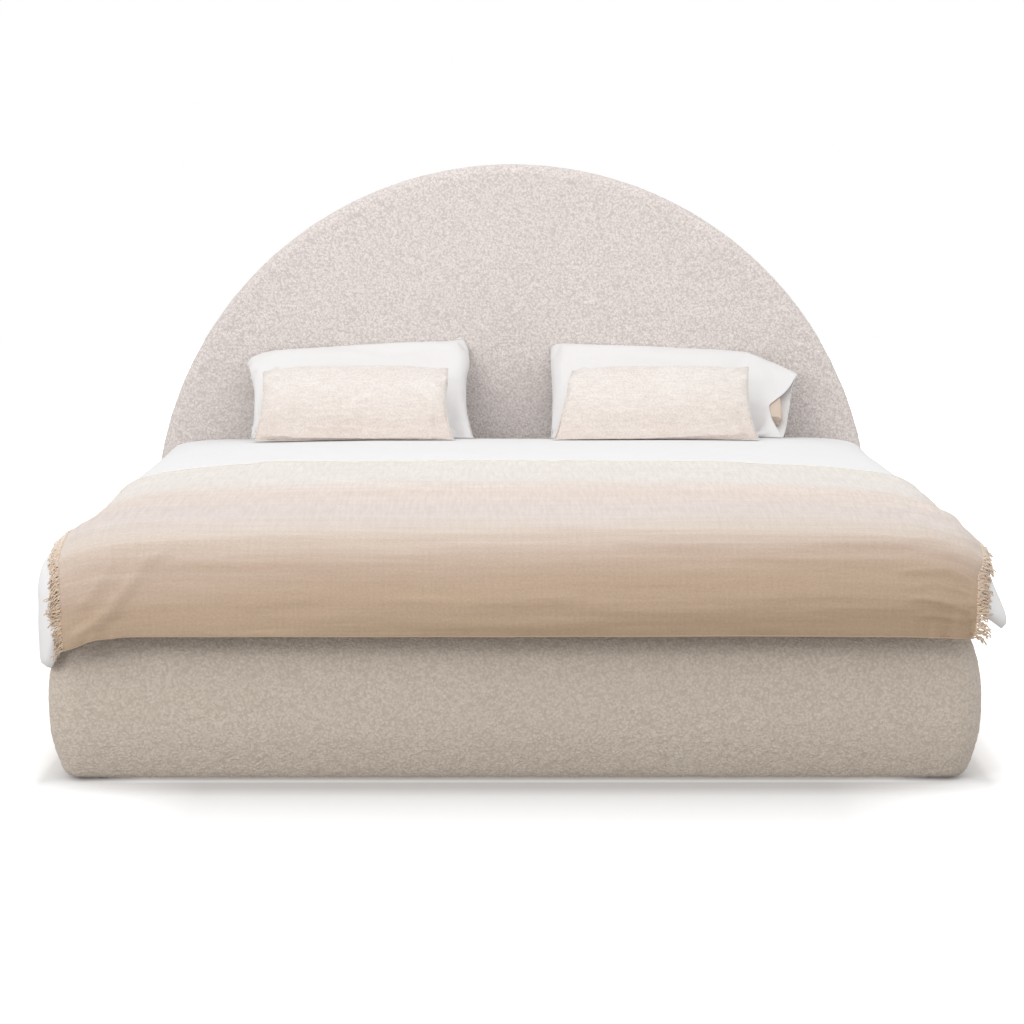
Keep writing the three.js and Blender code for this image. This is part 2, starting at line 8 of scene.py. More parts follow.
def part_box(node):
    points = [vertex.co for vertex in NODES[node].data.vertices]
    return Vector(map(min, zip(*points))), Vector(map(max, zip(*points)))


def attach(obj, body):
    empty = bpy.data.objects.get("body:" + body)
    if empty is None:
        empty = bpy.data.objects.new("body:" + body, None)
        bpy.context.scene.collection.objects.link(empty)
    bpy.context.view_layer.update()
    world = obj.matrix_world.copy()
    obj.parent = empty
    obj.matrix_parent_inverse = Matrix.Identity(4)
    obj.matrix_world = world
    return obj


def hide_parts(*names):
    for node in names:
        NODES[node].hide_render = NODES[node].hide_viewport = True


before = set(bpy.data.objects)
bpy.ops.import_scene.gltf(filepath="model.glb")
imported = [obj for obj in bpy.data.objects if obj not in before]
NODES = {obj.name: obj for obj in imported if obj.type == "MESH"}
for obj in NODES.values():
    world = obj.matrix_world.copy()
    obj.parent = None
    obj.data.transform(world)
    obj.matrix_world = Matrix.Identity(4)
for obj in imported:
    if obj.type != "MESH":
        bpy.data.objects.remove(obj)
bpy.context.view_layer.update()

SC = bpy.context.scene

# ---------------------------------------------------------------- the bed's own measures, metres
# s is the distance behind the fullest line of the base's foot; row Y = s - 1.1025
S0 = 1.1025
BASE_HW, BASE_LEN, CORNER_R, UNIT_T = 1.050, 2.170, 0.080, 0.125
HEAD_R, HEAD_CZ, HEAD_T, HEAD_EDGE = 1.050, 0.312, 0.116, 0.030
# base profile: height, inset from the fullest line
PROFILE = np.array([
    [6, 56], [9, 47], [14, 37.5], [27, 28.5], [45, 21], [75, 11.5], [109, 4], [140, .9], [175, 0], [210, .9], [240, 4],
    [267, 9], [297, 18], [320, 27.5], [336, 38], [348, 54], [355, 75], [357, 104], [357, 124]]) / 1000.0
# duvet contours: half width, foot line s, head line s, foot corner radius, head corner radius, height
DV = np.array([
    [1086, -64, 2163, 110, 4, 236], [1100, -80, 2163, 120, 4, 290], [1094, -80, 2163, 126, 4, 350],
    [1084, -74, 2163, 132, 4, 400], [1070, -58, 2163, 140, 4, 450], [1056, -36, 2163, 150, 6, 490],
    [1040, -8, 2160, 165, 20, 520], [1016, 28, 2150, 190, 60, 545], [975, 84, 2080, 220, 120, 566],
    [900, 180, 1880, 260, 170, 581], [800, 320, 1740, 300, 220, 591], [640, 520, 1640, 320, 260, 600],
    [380, 820, 1540, 300, 260, 607], [160, 1000, 1440, 120, 120, 610]]) / 1000.0


# ---------------------------------------------------------------- small numeric tools
def pchip(x, y, xi):
    """Monotone cubic interpolation of y (n or n,k) at xi."""
    x = np.asarray(x, float)
    y = np.asarray(y, float)
    one = y.ndim == 1
    if one:
        y = y[:, None]
    h = np.diff(x)[:, None]
    d = np.diff(y, axis=0) / h
    m = np.zeros_like(y)
    w1 = 2 * h[1:] + h[:-1]
    w2 = h[1:] + 2 * h[:-1]
    ok = d[:-1] * d[1:] > 0
    with np.errstate(divide="ignore", invalid="ignore"):
        hm = (w1 + w2) / (w1 / d[:-1] + w2 / d[1:])
    m[1:-1] = np.where(ok, hm, 0)
    m[0], m[-1] = d[0], d[-1]
    xi = np.clip(np.asarray(xi, float), x[0], x[-1])
    k = np.clip(np.searchsorted(x, xi, side="right") - 1, 0, len(x) - 2)
    t = ((xi - x[k]) / h[k, 0])[:, None]
    hk = h[k]
    out = ((1 + 2 * t) * (1 - t) ** 2 * y[k] + t * (1 - t) ** 2 * hk * m[k]
           + t * t * (3 - 2 * t) * y[k + 1] + t * t * (t - 1) * hk * m[k + 1])
    return out[:, 0] if one else out


def resample(pts, step=None, n=None):
    """Points spaced evenly along a polyline."""
    pts = np.asarray(pts, float)
    d = np.r_[0, np.cumsum(np.linalg.norm(np.diff(pts, axis=0), axis=1))]
    if n is None:
        n = max(2, int(round(d[-1] / step)) + 1)
    t = np.linspace(0, d[-1], n)
    return np.stack([np.interp(t, d, pts[:, c]) for c in range(pts.shape[1])], 1)


def smooth_line(pts, step):
    """A smooth curve through the points, evenly spaced."""
    pts = np.asarray(pts, float)
    d = np.r_[0, np.cumsum(np.linalg.norm(np.diff(pts, axis=0), axis=1))]
    fine = pchip(d, pts, np.linspace(0, d[-1], 1200))
    return resample(fine, step)


_PERM = np.random.RandomState(7).permutation(256)
_GRAD = np.random.RandomState(11).normal(size=(256, 3))
_GRAD /= np.linalg.norm(_GRAD, axis=1)[:, None]


def perlin(p, seed=0):
    """Gradient noise, about -0.7..0.7, at points (n,3)."""
    p = np.asarray(p, float)
    i = np.floor(p).astype(np.int64)
    f = p - i
    u = f * f * f * (f * (f * 6 - 15) + 10)
    out = 0
    for dx in (0, 1):
        for dy in (0, 1):
            for dz in (0, 1):
                h = _PERM[(_PERM[(_PERM[(i[..., 0] + dx + seed * 17) & 255] + i[..., 1] + dy) & 255] + i[..., 2] + dz) & 255]
                g = _GRAD[h]
                w = ((u[..., 0] if dx else 1 - u[..., 0]) * (u[..., 1] if dy else 1 - u[..., 1])
                     * (u[..., 2] if dz else 1 - u[..., 2]))
                out = out + w * (g[..., 0] * (f[..., 0] - dx) + g[..., 1] * (f[..., 1] - dy) + g[..., 2] * (f[..., 2] - dz))
    return out


def fbm(p, octaves=3, seed=0, gain=.5):
    a, s, t = 1.0, 1.0, 0
    for o in range(octaves):
        t = t + a * perlin(np.asarray(p) * s, seed + o)
        a *= gain
        s *= 2.03
    return t


def sstep(a, b, x):
    t = np.clip((np.asarray(x, float) - a) / (b - a), 0, 1)
    return t * t * (3 - 2 * t)


def make(name, verts, faces, smooth=True):
    me = bpy.data.meshes.new(name)
    verts = np.asarray(verts, float)
    me.from_pydata(verts.tolist(), [], [list(map(int, f)) for f in faces])
    me.validate()
    if smooth:
        me.polygons.foreach_set("use_smooth", [True] * len(me.polygons))
    me.update()
    ob = bpy.data.objects.new(name, me)
    SC.collection.objects.link(ob)
    return ob


def grid_faces(n, m, close=False, base=0, flip=False):
    """Quads of an n by m grid of vertices; close joins the last column to the first."""
    i, j = np.meshgrid(np.arange(n - 1), np.arange(m if close else m - 1), indexing="ij")
    a = i * m + j
    b = i * m + (j + 1) % m
    c = (i + 1) * m + (j + 1) % m
    d = (i + 1) * m + j
    q = np.stack([a, b, c, d], -1).reshape(-1, 4) + base
    return q[:, ::-1] if flip else q


def grid_normals(P, close=False):
    """Vertex normals of a grid of points (n,m,3)."""
    if close:
        du = np.roll(P, -1, 1) - np.roll(P, 1, 1)
    else:
        du = np.gradient(P, axis=1)
    dv = np.gradient(P, axis=0)
    n = np.cross(du, dv)
    return n / np.maximum(np.linalg.norm(n, axis=-1, keepdims=True), 1e-12)


def contour(hw, sf, sh, rf, rh, counts):
    """A closed rounded rectangle in (x, s): head middle -> left side -> foot -> right side -> head middle."""
    nh, na, ns, nf = counts
    rf = min(rf, hw * .98, (sh - sf) * .49)
    rh = min(rh, hw * .98, (sh - sf) * .49)
    t = lambda a, b, n: np.linspace(a, b, n, endpoint=False)
    xs, ss = [], []
    x = t(0, -(hw - rh), nh); xs.append(x); ss.append(np.full(nh, sh))
    a = t(0, math.pi / 2, na); xs.append(-(hw - rh) - rh * np.sin(a)); ss.append(sh - rh + rh * np.cos(a))
    s = t(sh - rh, sf + rf, ns); xs.append(np.full(ns, -hw)); ss.append(s)
    a = t(0, math.pi / 2, na); xs.append(-(hw - rf) - rf * np.cos(a)); ss.append(sf + rf - rf * np.sin(a))
    x = t(-(hw - rf), hw - rf, nf); xs.append(x); ss.append(np.full(nf, sf))
    a = t(0, math.pi / 2, na); xs.append(hw - rf + rf * np.sin(a)); ss.append(sf + rf - rf * np.cos(a))
    s = t(sf + rf, sh - rh, ns); xs.append(np.full(ns, hw)); ss.append(s)
    a = t(0, math.pi / 2, na); xs.append(hw - rh + rh * np.cos(a)); ss.append(sh - rh + rh * np.sin(a))
    x = t(hw - rh, 0, nh); xs.append(x); ss.append(np.full(nh, sh))
    return np.stack([np.concatenate(xs), np.concatenate(ss)], 1)


# the duvet's outside as a solid: negative inside, by height
_ZT = np.arange(.10, .700, .0005)
_T = np.vstack([[1.075, -.050, 2.163, .105, .004, .10], DV, [-.2, 1.12, 1.32, .05, .05, .6115], [-2.2, 1.2, 1.24, .01, .01, .70]])
_LEV = pchip(_T[:, 5], _T[:, :5], _ZT)


_SZ = np.arange(.10, .70, .002)
_SF = pchip([.10, .25, .29, .35, .40, .45, .49, .55, .60, .70], [.9775, .9775, .970, .9753, .9834, .9985, 1.004, .988, .992, 1], _SZ)


def side_scale(x, s, z):
    """The bedding doesn't hang alike on both sides: closer on the left behind the corner, fuller at the right."""
    foot = sstep(.42, .18, s)
    high = sstep(.48, .52, z)
    rear = .985 - .007 * high + .010 * sstep(.566, .60, z) - .012 * sstep(1.0, 1.9, s) * high
    rear = rear - .010 * sstep(1.2, .9, s) * high
    left = foot * np.interp(z, _SZ, _SF) + (1 - foot) * rear
    right = (1 + .006 * sstep(.60, .50, z) * sstep(.2, .8, s) + .006 * sstep(.46, .36, z) * sstep(.6, .2, s)
             + .010 * sstep(.46, .50, z) * sstep(.575, .55, z) * sstep(.6, .3, s) - .013 * sstep(1.25, 1.8, s) * high)
    return np.where(x < 0, left, right)


def duvet_f(x, s, z):
    x = x / side_scale(x, s, z)
    k = (np.clip(z, .101, .699) - .10) / .0005
    i = k.astype(int)
    f = (k - i)[..., None]
    L = _LEV[i] * (1 - f) + _LEV[np.minimum(i + 1, len(_LEV) - 1)] * f
    hw, sf, sh, rf, rh = (L[..., c] for c in range(5))
    sc, hl = (sf + sh) / 2, (sh - sf) / 2
    r = np.where(s < sc, rf, rh)
    qx = np.abs(x) - (hw - r)
    qy = np.abs(s - sc) - (hl - r)
    return np.hypot(np.maximum(qx, 0), np.maximum(qy, 0)) + np.minimum(np.maximum(qx, qy), 0) - r


def duvet_d(P, swell=None):
    """Signed distance (first order) and outward normal of the duvet at row points (...,3)."""
    x, s, z = P[..., 0], P[..., 1] + S0, P[..., 2]
    e = .0015
    f = duvet_f(x, s, z)
    g = np.stack([duvet_f(x + e, s, z) - duvet_f(x - e, s, z), duvet_f(x, s + e, z) - duvet_f(x, s - e, z),
                  duvet_f(x, s, z + e) - duvet_f(x, s, z - e)], -1) / (2 * e)
    n = np.linalg.norm(g, axis=-1)
    n = np.maximum(n, 1e-6)
    d = f / n
    if swell is not None:
        d = d - swell(P)
    return d, g / n[..., None]


# ---------------------------------------------------------------- materials
def new_mat(name):
    m = bpy.data.materials.new(name)
    m.use_nodes = True
    nt = m.node_tree
    nt.nodes.clear()
    out = nt.nodes.new("ShaderNodeOutputMaterial")
    bs = nt.nodes.new("ShaderNodeBsdfPrincipled")
    nt.links.new(bs.outputs[0], out.inputs[0])
    return m, nt, bs


def srgb(r, g, b):
    f = lambda c: (c / 255 / 12.92) if c / 255 <= .04045 else ((c / 255 + .055) / 1.055) ** 2.4
    return (f(r), f(g), f(b), 1)


class NT:
    """Short hand for building node trees."""
    def __init__(self, nt):
        self.nt = nt

    def node(self, kind, **kw):
        n = self.nt.nodes.new(kind)
        for k, v in kw.items():
            setattr(n, k, v)
        return n

    def link(self, a, b):
        self.nt.links.new(a, b)

    def coords(self):
        return self.node("ShaderNodeTexCoord").outputs["Object"]

    def mapping(self, vec, scale=(1, 1, 1), loc=(0, 0, 0), rot=(0, 0, 0)):
        n = self.node("ShaderNodeMapping")
        n.inputs["Scale"].default_value = scale
        n.inputs["Location"].default_value = loc
        n.inputs["Rotation"].default_value = rot
        self.link(vec, n.inputs["Vector"])
        return n.outputs[0]

    def noise(self, vec, scale, detail=2, rough=.5, dist=0, out="Fac"):
        n = self.node("ShaderNodeTexNoise")
        n.inputs["Scale"].default_value = scale
        n.inputs["Detail"].default_value = detail
        n.inputs["Roughness"].default_value = rough
        n.inputs["Distortion"].default_value = dist
        self.link(vec, n.inputs["Vector"])
        return n.outputs[out]

    def voronoi(self, vec, scale, feature="F1", rand=1, smooth=None, out="Distance"):
        n = self.node("ShaderNodeTexVoronoi", feature=feature)
        n.inputs["Scale"].default_value = scale
        n.inputs["Randomness"].default_value = rand
        if smooth is not None:
            n.inputs["Smoothness"].default_value = smooth
        self.link(vec, n.inputs["Vector"])
        return n.outputs[out]

    def wave(self, vec, scale, dist=0, detail=0, dscale=1, direction="X", profile="SIN"):
        n = self.node("ShaderNodeTexWave", wave_type="BANDS", bands_direction=direction, wave_profile=profile)
        n.inputs["Scale"].default_value = scale
        n.inputs["Distortion"].default_value = dist
        n.inputs["Detail"].default_value = detail
        n.inputs["Detail Scale"].default_value = dscale
        self.link(vec, n.inputs["Vector"])
        return n.outputs["Fac"]

    def math(self, op, a, b=None, c=None, clamp=False):
        n = self.node("ShaderNodeMath", operation=op, use_clamp=clamp)
        for k, v in enumerate((a, b, c)):
            if v is None:
                continue
            if isinstance(v, (int, float)):
                n.inputs[k].default_value = v
            else:
                self.link(v, n.inputs[k])
        return n.outputs[0]

    def ramp(self, fac, stops, interp="LINEAR"):
        n = self.node("ShaderNodeValToRGB")
        cr = n.color_ramp
        cr.interpolation = interp
        while len(cr.elements) < len(stops):
            cr.elements.new(.5)
        for e, (p, c) in zip(cr.elements, stops):
            e.position = p
            e.color = c if len(c) == 4 else (*c, 1)
        self.link(fac, n.inputs["Fac"])
        return n.outputs["Color"]

    def mix(self, fac, a, b, blend="MIX"):
        n = self.node("ShaderNodeMix", data_type="RGBA", blend_type=blend)
        for sock, v in ((n.inputs["Factor"], fac), (n.inputs["A"], a), (n.inputs["B"], b)):
            if isinstance(v, (int, float)):
                sock.default_value = v
            elif isinstance(v, tuple):
                sock.default_value = v
            else:
                self.link(v, sock)
        return n.outputs["Result"]

    def maprange(self, v, a, b, c, d, clamp=True):
        n = self.node("ShaderNodeMapRange", clamp=clamp)
        self.link(v, n.inputs["Value"])
        for k, x in zip(("From Min", "From Max", "To Min", "To Max"), (a, b, c, d)):
            n.inputs[k].default_value = x
        return n.outputs[0]

    def bump(self, height, strength, dist, normal=None):
        n = self.node("ShaderNodeBump")
        n.inputs["Strength"].default_value = strength
        n.inputs["Distance"].default_value = dist
        self.link(height, n.inputs["Height"])
        if normal is not None:
            self.link(normal, n.inputs["Normal"])
        return n.outputs[0]


def boucle_mat(name, base, dark):
    m, nt, bs = new_mat(name)
    N = NT(nt)
    co = N.coords()
    # curls: a warped cell pattern with rounded loops, a finer one on top
    wobble = N.noise(co, 120, 2, .6, 0, "Color")
    add = N.node("ShaderNodeVectorMath", operation="MULTIPLY_ADD")
    N.link(wobble, add.inputs[0])
    add.inputs[1].default_value = (.010, .010, .010)
    N.link(co, add.inputs[2])
    wv = add.outputs[0]
    loops = N.voronoi(wv, 165, "SMOOTH_F1", 1, .5)
    edge = N.maprange(loops, .05, .75, 1, 0)
    fine = N.noise(wv, 420, 2, .65)
    big = N.noise(co, 60, 2, .5)
    h = N.math("ADD", N.math("MULTIPLY", edge, .50), N.math("MULTIPLY", fine, .34))
    h = N.math("ADD", h, N.math("MULTIPLY", big, .26))
    tone = N.maprange(h, .30, .85, 0, 1)
    col = N.ramp(tone, [(0, dark), (1, base)])
    patch = N.noise(co, 3.2, 2, .5)
    col = N.mix(N.maprange(patch, .35, .65, 0, .10), col, (dark[0], dark[1], dark[2], 1))
    N.link(col, bs.inputs["Base Color"])
    N.link(N.bump(h, .75, .0045), bs.inputs["Normal"])
    bs.inputs["Roughness"].default_value = .95
    bs.inputs["Specular IOR Level"].default_value = .15
    bs.inputs["Sheen Weight"].default_value = .28
    bs.inputs["Sheen Roughness"].default_value = .55
    bs.inputs["Sheen Tint"].default_value = (1, .98, .96, 1)
    return m


def cotton_mat(name, base, weave=900, tint=.03, bump=.25, sheen=.12, cloud=7):
    m, nt, bs = new_mat(name)
    N = NT(nt)
    co = N.coords()
    warp = N.wave(N.mapping(co, rot=(0, 0, .0)), weave / 6.283, 1.2, 1, 2, "X")
    weft = N.wave(N.mapping(co, rot=(0, 0, .0)), weave / 6.283, 1.2, 1, 2, "Z")
    wy = N.wave(N.mapping(co, rot=(0, 0, .0)), weave / 6.283, 1.2, 1, 2, "Y")
    h = N.math("ADD", N.math("ADD", warp, weft), wy)
    soft = N.noise(co, cloud, 3, .55)
    col = N.mix(N.maprange(soft, .3, .7, 0, tint * 4), base, tuple(list(np.array(base[:3]) * .9) + [1]))
    col = N.mix(N.math("MULTIPLY", N.maprange(h, .4, 2.4, 1, 0), tint), col, tuple(list(np.array(base[:3]) * .6) + [1]))
    N.link(col, bs.inputs["Base Color"])
    crinkle = N.noise(co, 42, 4, .62, .3)
    nrm = N.bump(crinkle, bump, .004)
    N.link(N.bump(h, .12, .0004, nrm), bs.inputs["Normal"])
    bs.inputs["Roughness"].default_value = .9
    bs.inputs["Specular IOR Level"].default_value = .18
    bs.inputs["Sheen Weight"].default_value = sheen
    bs.inputs["Sheen Roughness"].default_value = .5
    return m


# cream to tan dye along the throw; the darkest stops at the foot end also hold painted shade where the cloth turns down
# over the foot and rolls under at the hem
THROW_DYE_AND_SHADE_STOPS = [
    (0.00, srgb(246, 243, 237)), (.10, srgb(245, 241, 237)), (.30, srgb(243, 239, 235)), (.48, srgb(237, 224, 215)),
    (.60, srgb(232, 223, 217)), (.72, srgb(229, 220, 214)), (.79, srgb(222, 209, 197)), (.86, srgb(202, 182, 166)),
    (.92, srgb(194, 172, 150)), (.96, srgb(192, 170, 147)), (1.0, srgb(179, 157, 133))]


def throw_mat(name):
    """Cream at the head edge, through blush to tan at the foot, laid in by threads across the bed; the ramp's foot end
    also holds painted shade at the rolled-under hem.
    """
    m, nt, bs = new_mat(name)
    N = NT(nt)
    at = N.node("ShaderNodeAttribute", attribute_name="cloth", attribute_type="GEOMETRY")
    sep = N.node("ShaderNodeSeparateXYZ")
    N.link(at.outputs["Vector"], sep.inputs[0])
    a, b = sep.outputs["X"], sep.outputs["Y"]      # metres across and along the cloth
    comb = N.node("ShaderNodeCombineXYZ")
    N.link(a, comb.inputs["X"]); N.link(b, comb.inputs["Y"])
    uv = comb.outputs[0]
    # uneven dyeing: broad bands with a wandering edge, and long slubs
    drift = N.math("SUBTRACT", N.noise(N.mapping(uv, (.55, 3.2, 1)), 1, 2, .5), .5)
    streak = N.math("SUBTRACT", N.noise(N.mapping(uv, (1.6, 34, 1)), 1, 3, .6), .5)
    streak2 = N.math("SUBTRACT", N.noise(N.mapping(uv, (5, 130, 1), (3, 7, 0)), 1, 2, .55), .5)
    pos = N.math("ADD", b, N.math("MULTIPLY", drift, .16))
    pos = N.math("ADD", pos, N.math("MULTIPLY", streak, .10))
    # darker towards the right and lighter on the left over the foot drop: partly uneven dye, partly painted shade for
    # the side turned away from the key light
    pos = N.math("ADD", pos, N.math("MULTIPLY", N.math("MULTIPLY", a, .070), N.maprange(b, .98, 1.16, 0, 1)))
    t = N.maprange(pos, 0, 1.26, 0, 1)
    col = N.ramp(t, THROW_DYE_AND_SHADE_STOPS)
    slub = N.maprange(N.math("ADD", N.math("MULTIPLY", streak, .6), N.math("MULTIPLY", streak2, .6)), -.3, .3, 0, 1)
    col = N.mix(N.math("MULTIPLY", slub, .20), col, (.50, .42, .36, 1), "MULTIPLY")
    # thicker warp yarns show on the top
    yarn = N.noise(N.mapping(uv, (115, 9, 1), (2, 5, 0)), 1, 2, .6)
    flatpart = N.maprange(b, .82, 1.02, .16, .06)
    col = N.mix(N.math("MULTIPLY", N.maprange(yarn, .35, .65, 1, 0), flatpart), col, (.50, .42, .36, 1), "MULTIPLY")
    speck = N.noise(N.mapping(uv, (150, 190, 1)), 1, 2, .6)
    col = N.mix(N.maprange(speck, .35, .65, .16, 0), col, (.50, .42, .36, 1), "MULTIPLY")
    warp = N.wave(uv, 1 / .0026, 1.4, 2, 3, "X")
    weft = N.wave(uv, 1 / .0022, 1.2, 2, 3, "Y")
    thread = N.math("ADD", N.math("MULTIPLY", warp, .5), N.math("MULTIPLY", weft, .5))
    col = N.mix(N.math("MULTIPLY", N.maprange(thread, 0, 1, 1, 0), .13), col, (.50, .42, .36, 1), "MULTIPLY")
    col = N.mix(1.0, col, (1.09, 1.09, 1.095, 1), "MULTIPLY")
    N.link(col, bs.inputs["Base Color"])
    crease = N.noise(N.mapping(uv, (7, 38, 1)), 1, 3, .55, .4)
    n1 = N.bump(crease, .45, .006)
    n2 = N.bump(N.math("ADD", N.math("ADD", thread, N.math("MULTIPLY", yarn, 1.6)), N.math("MULTIPLY", streak2, 1.8)), .5, .0009, n1)
    N.link(n2, bs.inputs["Normal"])
    bs.inputs["Roughness"].default_value = .93
    bs.inputs["Specular IOR Level"].default_value = .15
    bs.inputs["Sheen Weight"].default_value = .18
    bs.inputs["Sheen Roughness"].default_value = .5
    return m


def thread_mat(name, pale, gain):
    """Yarn of the throw: its own dye, a little paler, with a twist."""
    m, nt, bs = new_mat(name)
    N = NT(nt)
    at = N.node("ShaderNodeAttribute", attribute_name="cloth", attribute_type="GEOMETRY")
    sep = N.node("ShaderNodeSeparateXYZ")
    N.link(at.outputs["Vector"], sep.inputs[0])
    t = N.maprange(sep.outputs["Y"], 0, 1.26, 0, 1)
    # the throw's ramp, including the painted shade at its foot end
    col = N.ramp(t, THROW_DYE_AND_SHADE_STOPS)
    col = N.mix(N.math("ADD", N.math("MULTIPLY", sep.outputs["Z"], pale), pale * .5), col, srgb(252, 243, 234))
    co = N.coords()
    twist = N.wave(co, 1 / .0034, 1.5, 1, 2, "DIAGONAL")
    col = N.mix(N.maprange(twist, .3, .8, .9 * pale, 0), col, srgb(196, 170, 148))
    col = N.mix(1.0, col, gain, "MULTIPLY")
    N.link(col, bs.inputs["Base Color"])
    N.link(N.bump(twist, .5, .0008), bs.inputs["Normal"])
    bs.inputs["Roughness"].default_value = .9
    bs.inputs["Specular IOR Level"].default_value = .2
    bs.inputs["Sheen Weight"].default_value = .2
    return m


def linen_mat(name, base, dark, low):
    """Slubbed linen, cream at the top of the cushion and a little beige low on its face; the beige low on the face is
    painted shade.
    """
    m, nt, bs = new_mat(name)
    N = NT(nt)
    co = N.coords()
    at = N.node("ShaderNodeAttribute", attribute_name="cloth", attribute_type="GEOMETRY")
    sep = N.node("ShaderNodeSeparateXYZ")
    N.link(at.outputs["Vector"], sep.inputs[0])
    wv = N.wave(co, 1 / .0030, 2.2, 2, 2.5, "X")
    wz = N.wave(co, 1 / .0030, 2.2, 2, 2.5, "Z")
    h = N.math("MULTIPLY", N.math("ADD", wv, wz), .5)
    grain = N.noise(co, 175, 3, .62)
    slub = N.noise(N.mapping(co, (26, 26, 120)), 1, 3, .6)
    tone = N.math("ADD", N.math("MULTIPLY", h, .30), N.math("ADD", N.math("MULTIPLY", grain, .45), N.math("MULTIPLY", slub, .25)))
    col = N.ramp(N.maprange(tone, .33, .66, 0, 1), [(0, dark), (1, base)])
    wander = N.math("MULTIPLY", N.math("SUBTRACT", N.noise(co, 9, 3, .6), .5), .12)
    # painted shade: the face darkens towards its lower part, where the cushion's belly turns down away from the light
    painted_low_shade = N.maprange(N.math("ADD", sep.outputs["Y"], wander), .04, -.13, 0, 1)
    col = N.mix(N.math("MULTIPLY", painted_low_shade, 1.0), col, low, "MULTIPLY")
    N.link(col, bs.inputs["Base Color"])
    n1 = N.bump(N.noise(co, 30, 3, .55), .25, .004)
    N.link(N.bump(tone, .5, .0016, n1), bs.inputs["Normal"])
    bs.inputs["Roughness"].default_value = .94
    bs.inputs["Specular IOR Level"].default_value = .15
    bs.inputs["Sheen Weight"].default_value = .2
    return m


def wood_mat(name, light, dark, axis="X", scale=1.0):
    m, nt, bs = new_mat(name)
    N = NT(nt)
    co = N.coords()
    st = {"X": (1.2, 14, 14), "Y": (14, 1.2, 14), "Z": (14, 14, 1.2)}[axis]
    v = N.mapping(co, tuple(scale * c for c in st))
    g = N.noise(v, 1.6, 6, .62, 1.1)
    rings = N.wave(v, .9, 6, 3, 1.4, "DIAGONAL")
    t = N.math("ADD", N.math("MULTIPLY", g, .65), N.math("MULTIPLY", rings, .35))
    col = N.ramp(t, [(.25, dark), (.6, light), (.8, tuple(min(1, c * 1.06) for c in light[:3]) + (1,))])
    N.link(col, bs.inputs["Base Color"])
    pores = N.noise(N.mapping(co, tuple(9 * c for c in st)), 3, 2, .5)
    N.link(N.bump(pores, .25, .0008), bs.inputs["Normal"])
    N.link(N.maprange(g, .2, .8, .5, .72), bs.inputs["Roughness"])
    return m


def ply_mat(name):
    m, nt, bs = new_mat(name)
    N = NT(nt)
    co = N.coords()
    face = N.noise(N.mapping(co, (2, 9, 16)), 2, 5, .6, .9)
    col = N.ramp(face, [(.25, srgb(176, 140, 98)), (.6, srgb(207, 174, 130)), (.85, srgb(220, 190, 150))])
    plies = N.wave(co, 1 / .006, .3, 1, 1, "Y")
    col = N.mix(N.maprange(plies, .35, .65, 0, .22), col, srgb(140, 104, 70))
    N.link(col, bs.inputs["Base Color"])
    N.link(N.bump(face, .2, .0008), bs.inputs["Normal"])
    bs.inputs["Roughness"].default_value = .65
    return m


def foam_mat(name, base):
    m, nt, bs = new_mat(name)
    N = NT(nt)
    co = N.coords()
    cells = N.voronoi(co, 420, "F1")
    tone = N.noise(co, 9, 3, .5)
    col = N.mix(N.maprange(cells, .1, .6, 0, .25), base, tuple(list(np.array(base[:3]) * .55) + [1]))
    col = N.mix(N.maprange(tone, .3, .7, 0, .15), col, srgb(233, 214, 160))
    N.link(col, bs.inputs["Base Color"])
    N.link(N.bump(cells, .5, .001), bs.inputs["Normal"])
    bs.inputs["Roughness"].default_value = .95
    return m


def metal_mat(name, base, rough, powder):
    m, nt, bs = new_mat(name)
    N = NT(nt)
    co = N.coords()
    mott = N.noise(co, 60, 4, .6)
    col = N.mix(N.maprange(mott, .3, .7, 0, .35), base, tuple(list(np.array(base[:3]) * .7) + [1]))
    N.link(col, bs.inputs["Base Color"])
    bs.inputs["Metallic"].default_value = 0.0 if powder else 1.0
    N.link(N.maprange(mott, .3, .7, rough, rough + .15), bs.inputs["Roughness"])
    N.link(N.bump(N.noise(co, 600 if powder else 160, 2, .5), .25, .0004), bs.inputs["Normal"])
    return m


def plastic_mat(name, base):
    m, nt, bs = new_mat(name)
    N = NT(nt)
    co = N.coords()
    g = N.noise(co, 900, 2, .5)
    col = N.mix(N.maprange(g, .3, .7, 0, .2), base, tuple(list(np.array(base[:3]) * 1.5) + [1]))
    N.link(col, bs.inputs["Base Color"])
    N.link(N.bump(g, .3, .0003), bs.inputs["Normal"])
    bs.inputs["Roughness"].default_value = .5
    return m


def cloth_mat(name, base):
    """Dust cloth stapled over the back."""
    m, nt, bs = new_mat(name)
    N = NT(nt)
    co = N.coords()
    f = N.voronoi(co, 700, "F1")
    n = N.noise(N.mapping(co, (1, 1, 1)), 24, 4, .6)
    col = N.mix(N.maprange(n, .3, .7, 0, .3), base, tuple(list(np.array(base[:3]) * .7) + [1]))
    col = N.mix(N.maprange(f, .1, .6, 0, .3), col, tuple(list(np.array(base[:3]) * .6) + [1]))
    N.link(col, bs.inputs["Base Color"])
    N.link(N.bump(f, .3, .0005), bs.inputs["Normal"])
    bs.inputs["Roughness"].default_value = .92
    return m


M = {}
M["boucle"] = boucle_mat("boucle_cream", srgb(249, 241, 238), srgb(204, 195, 191))
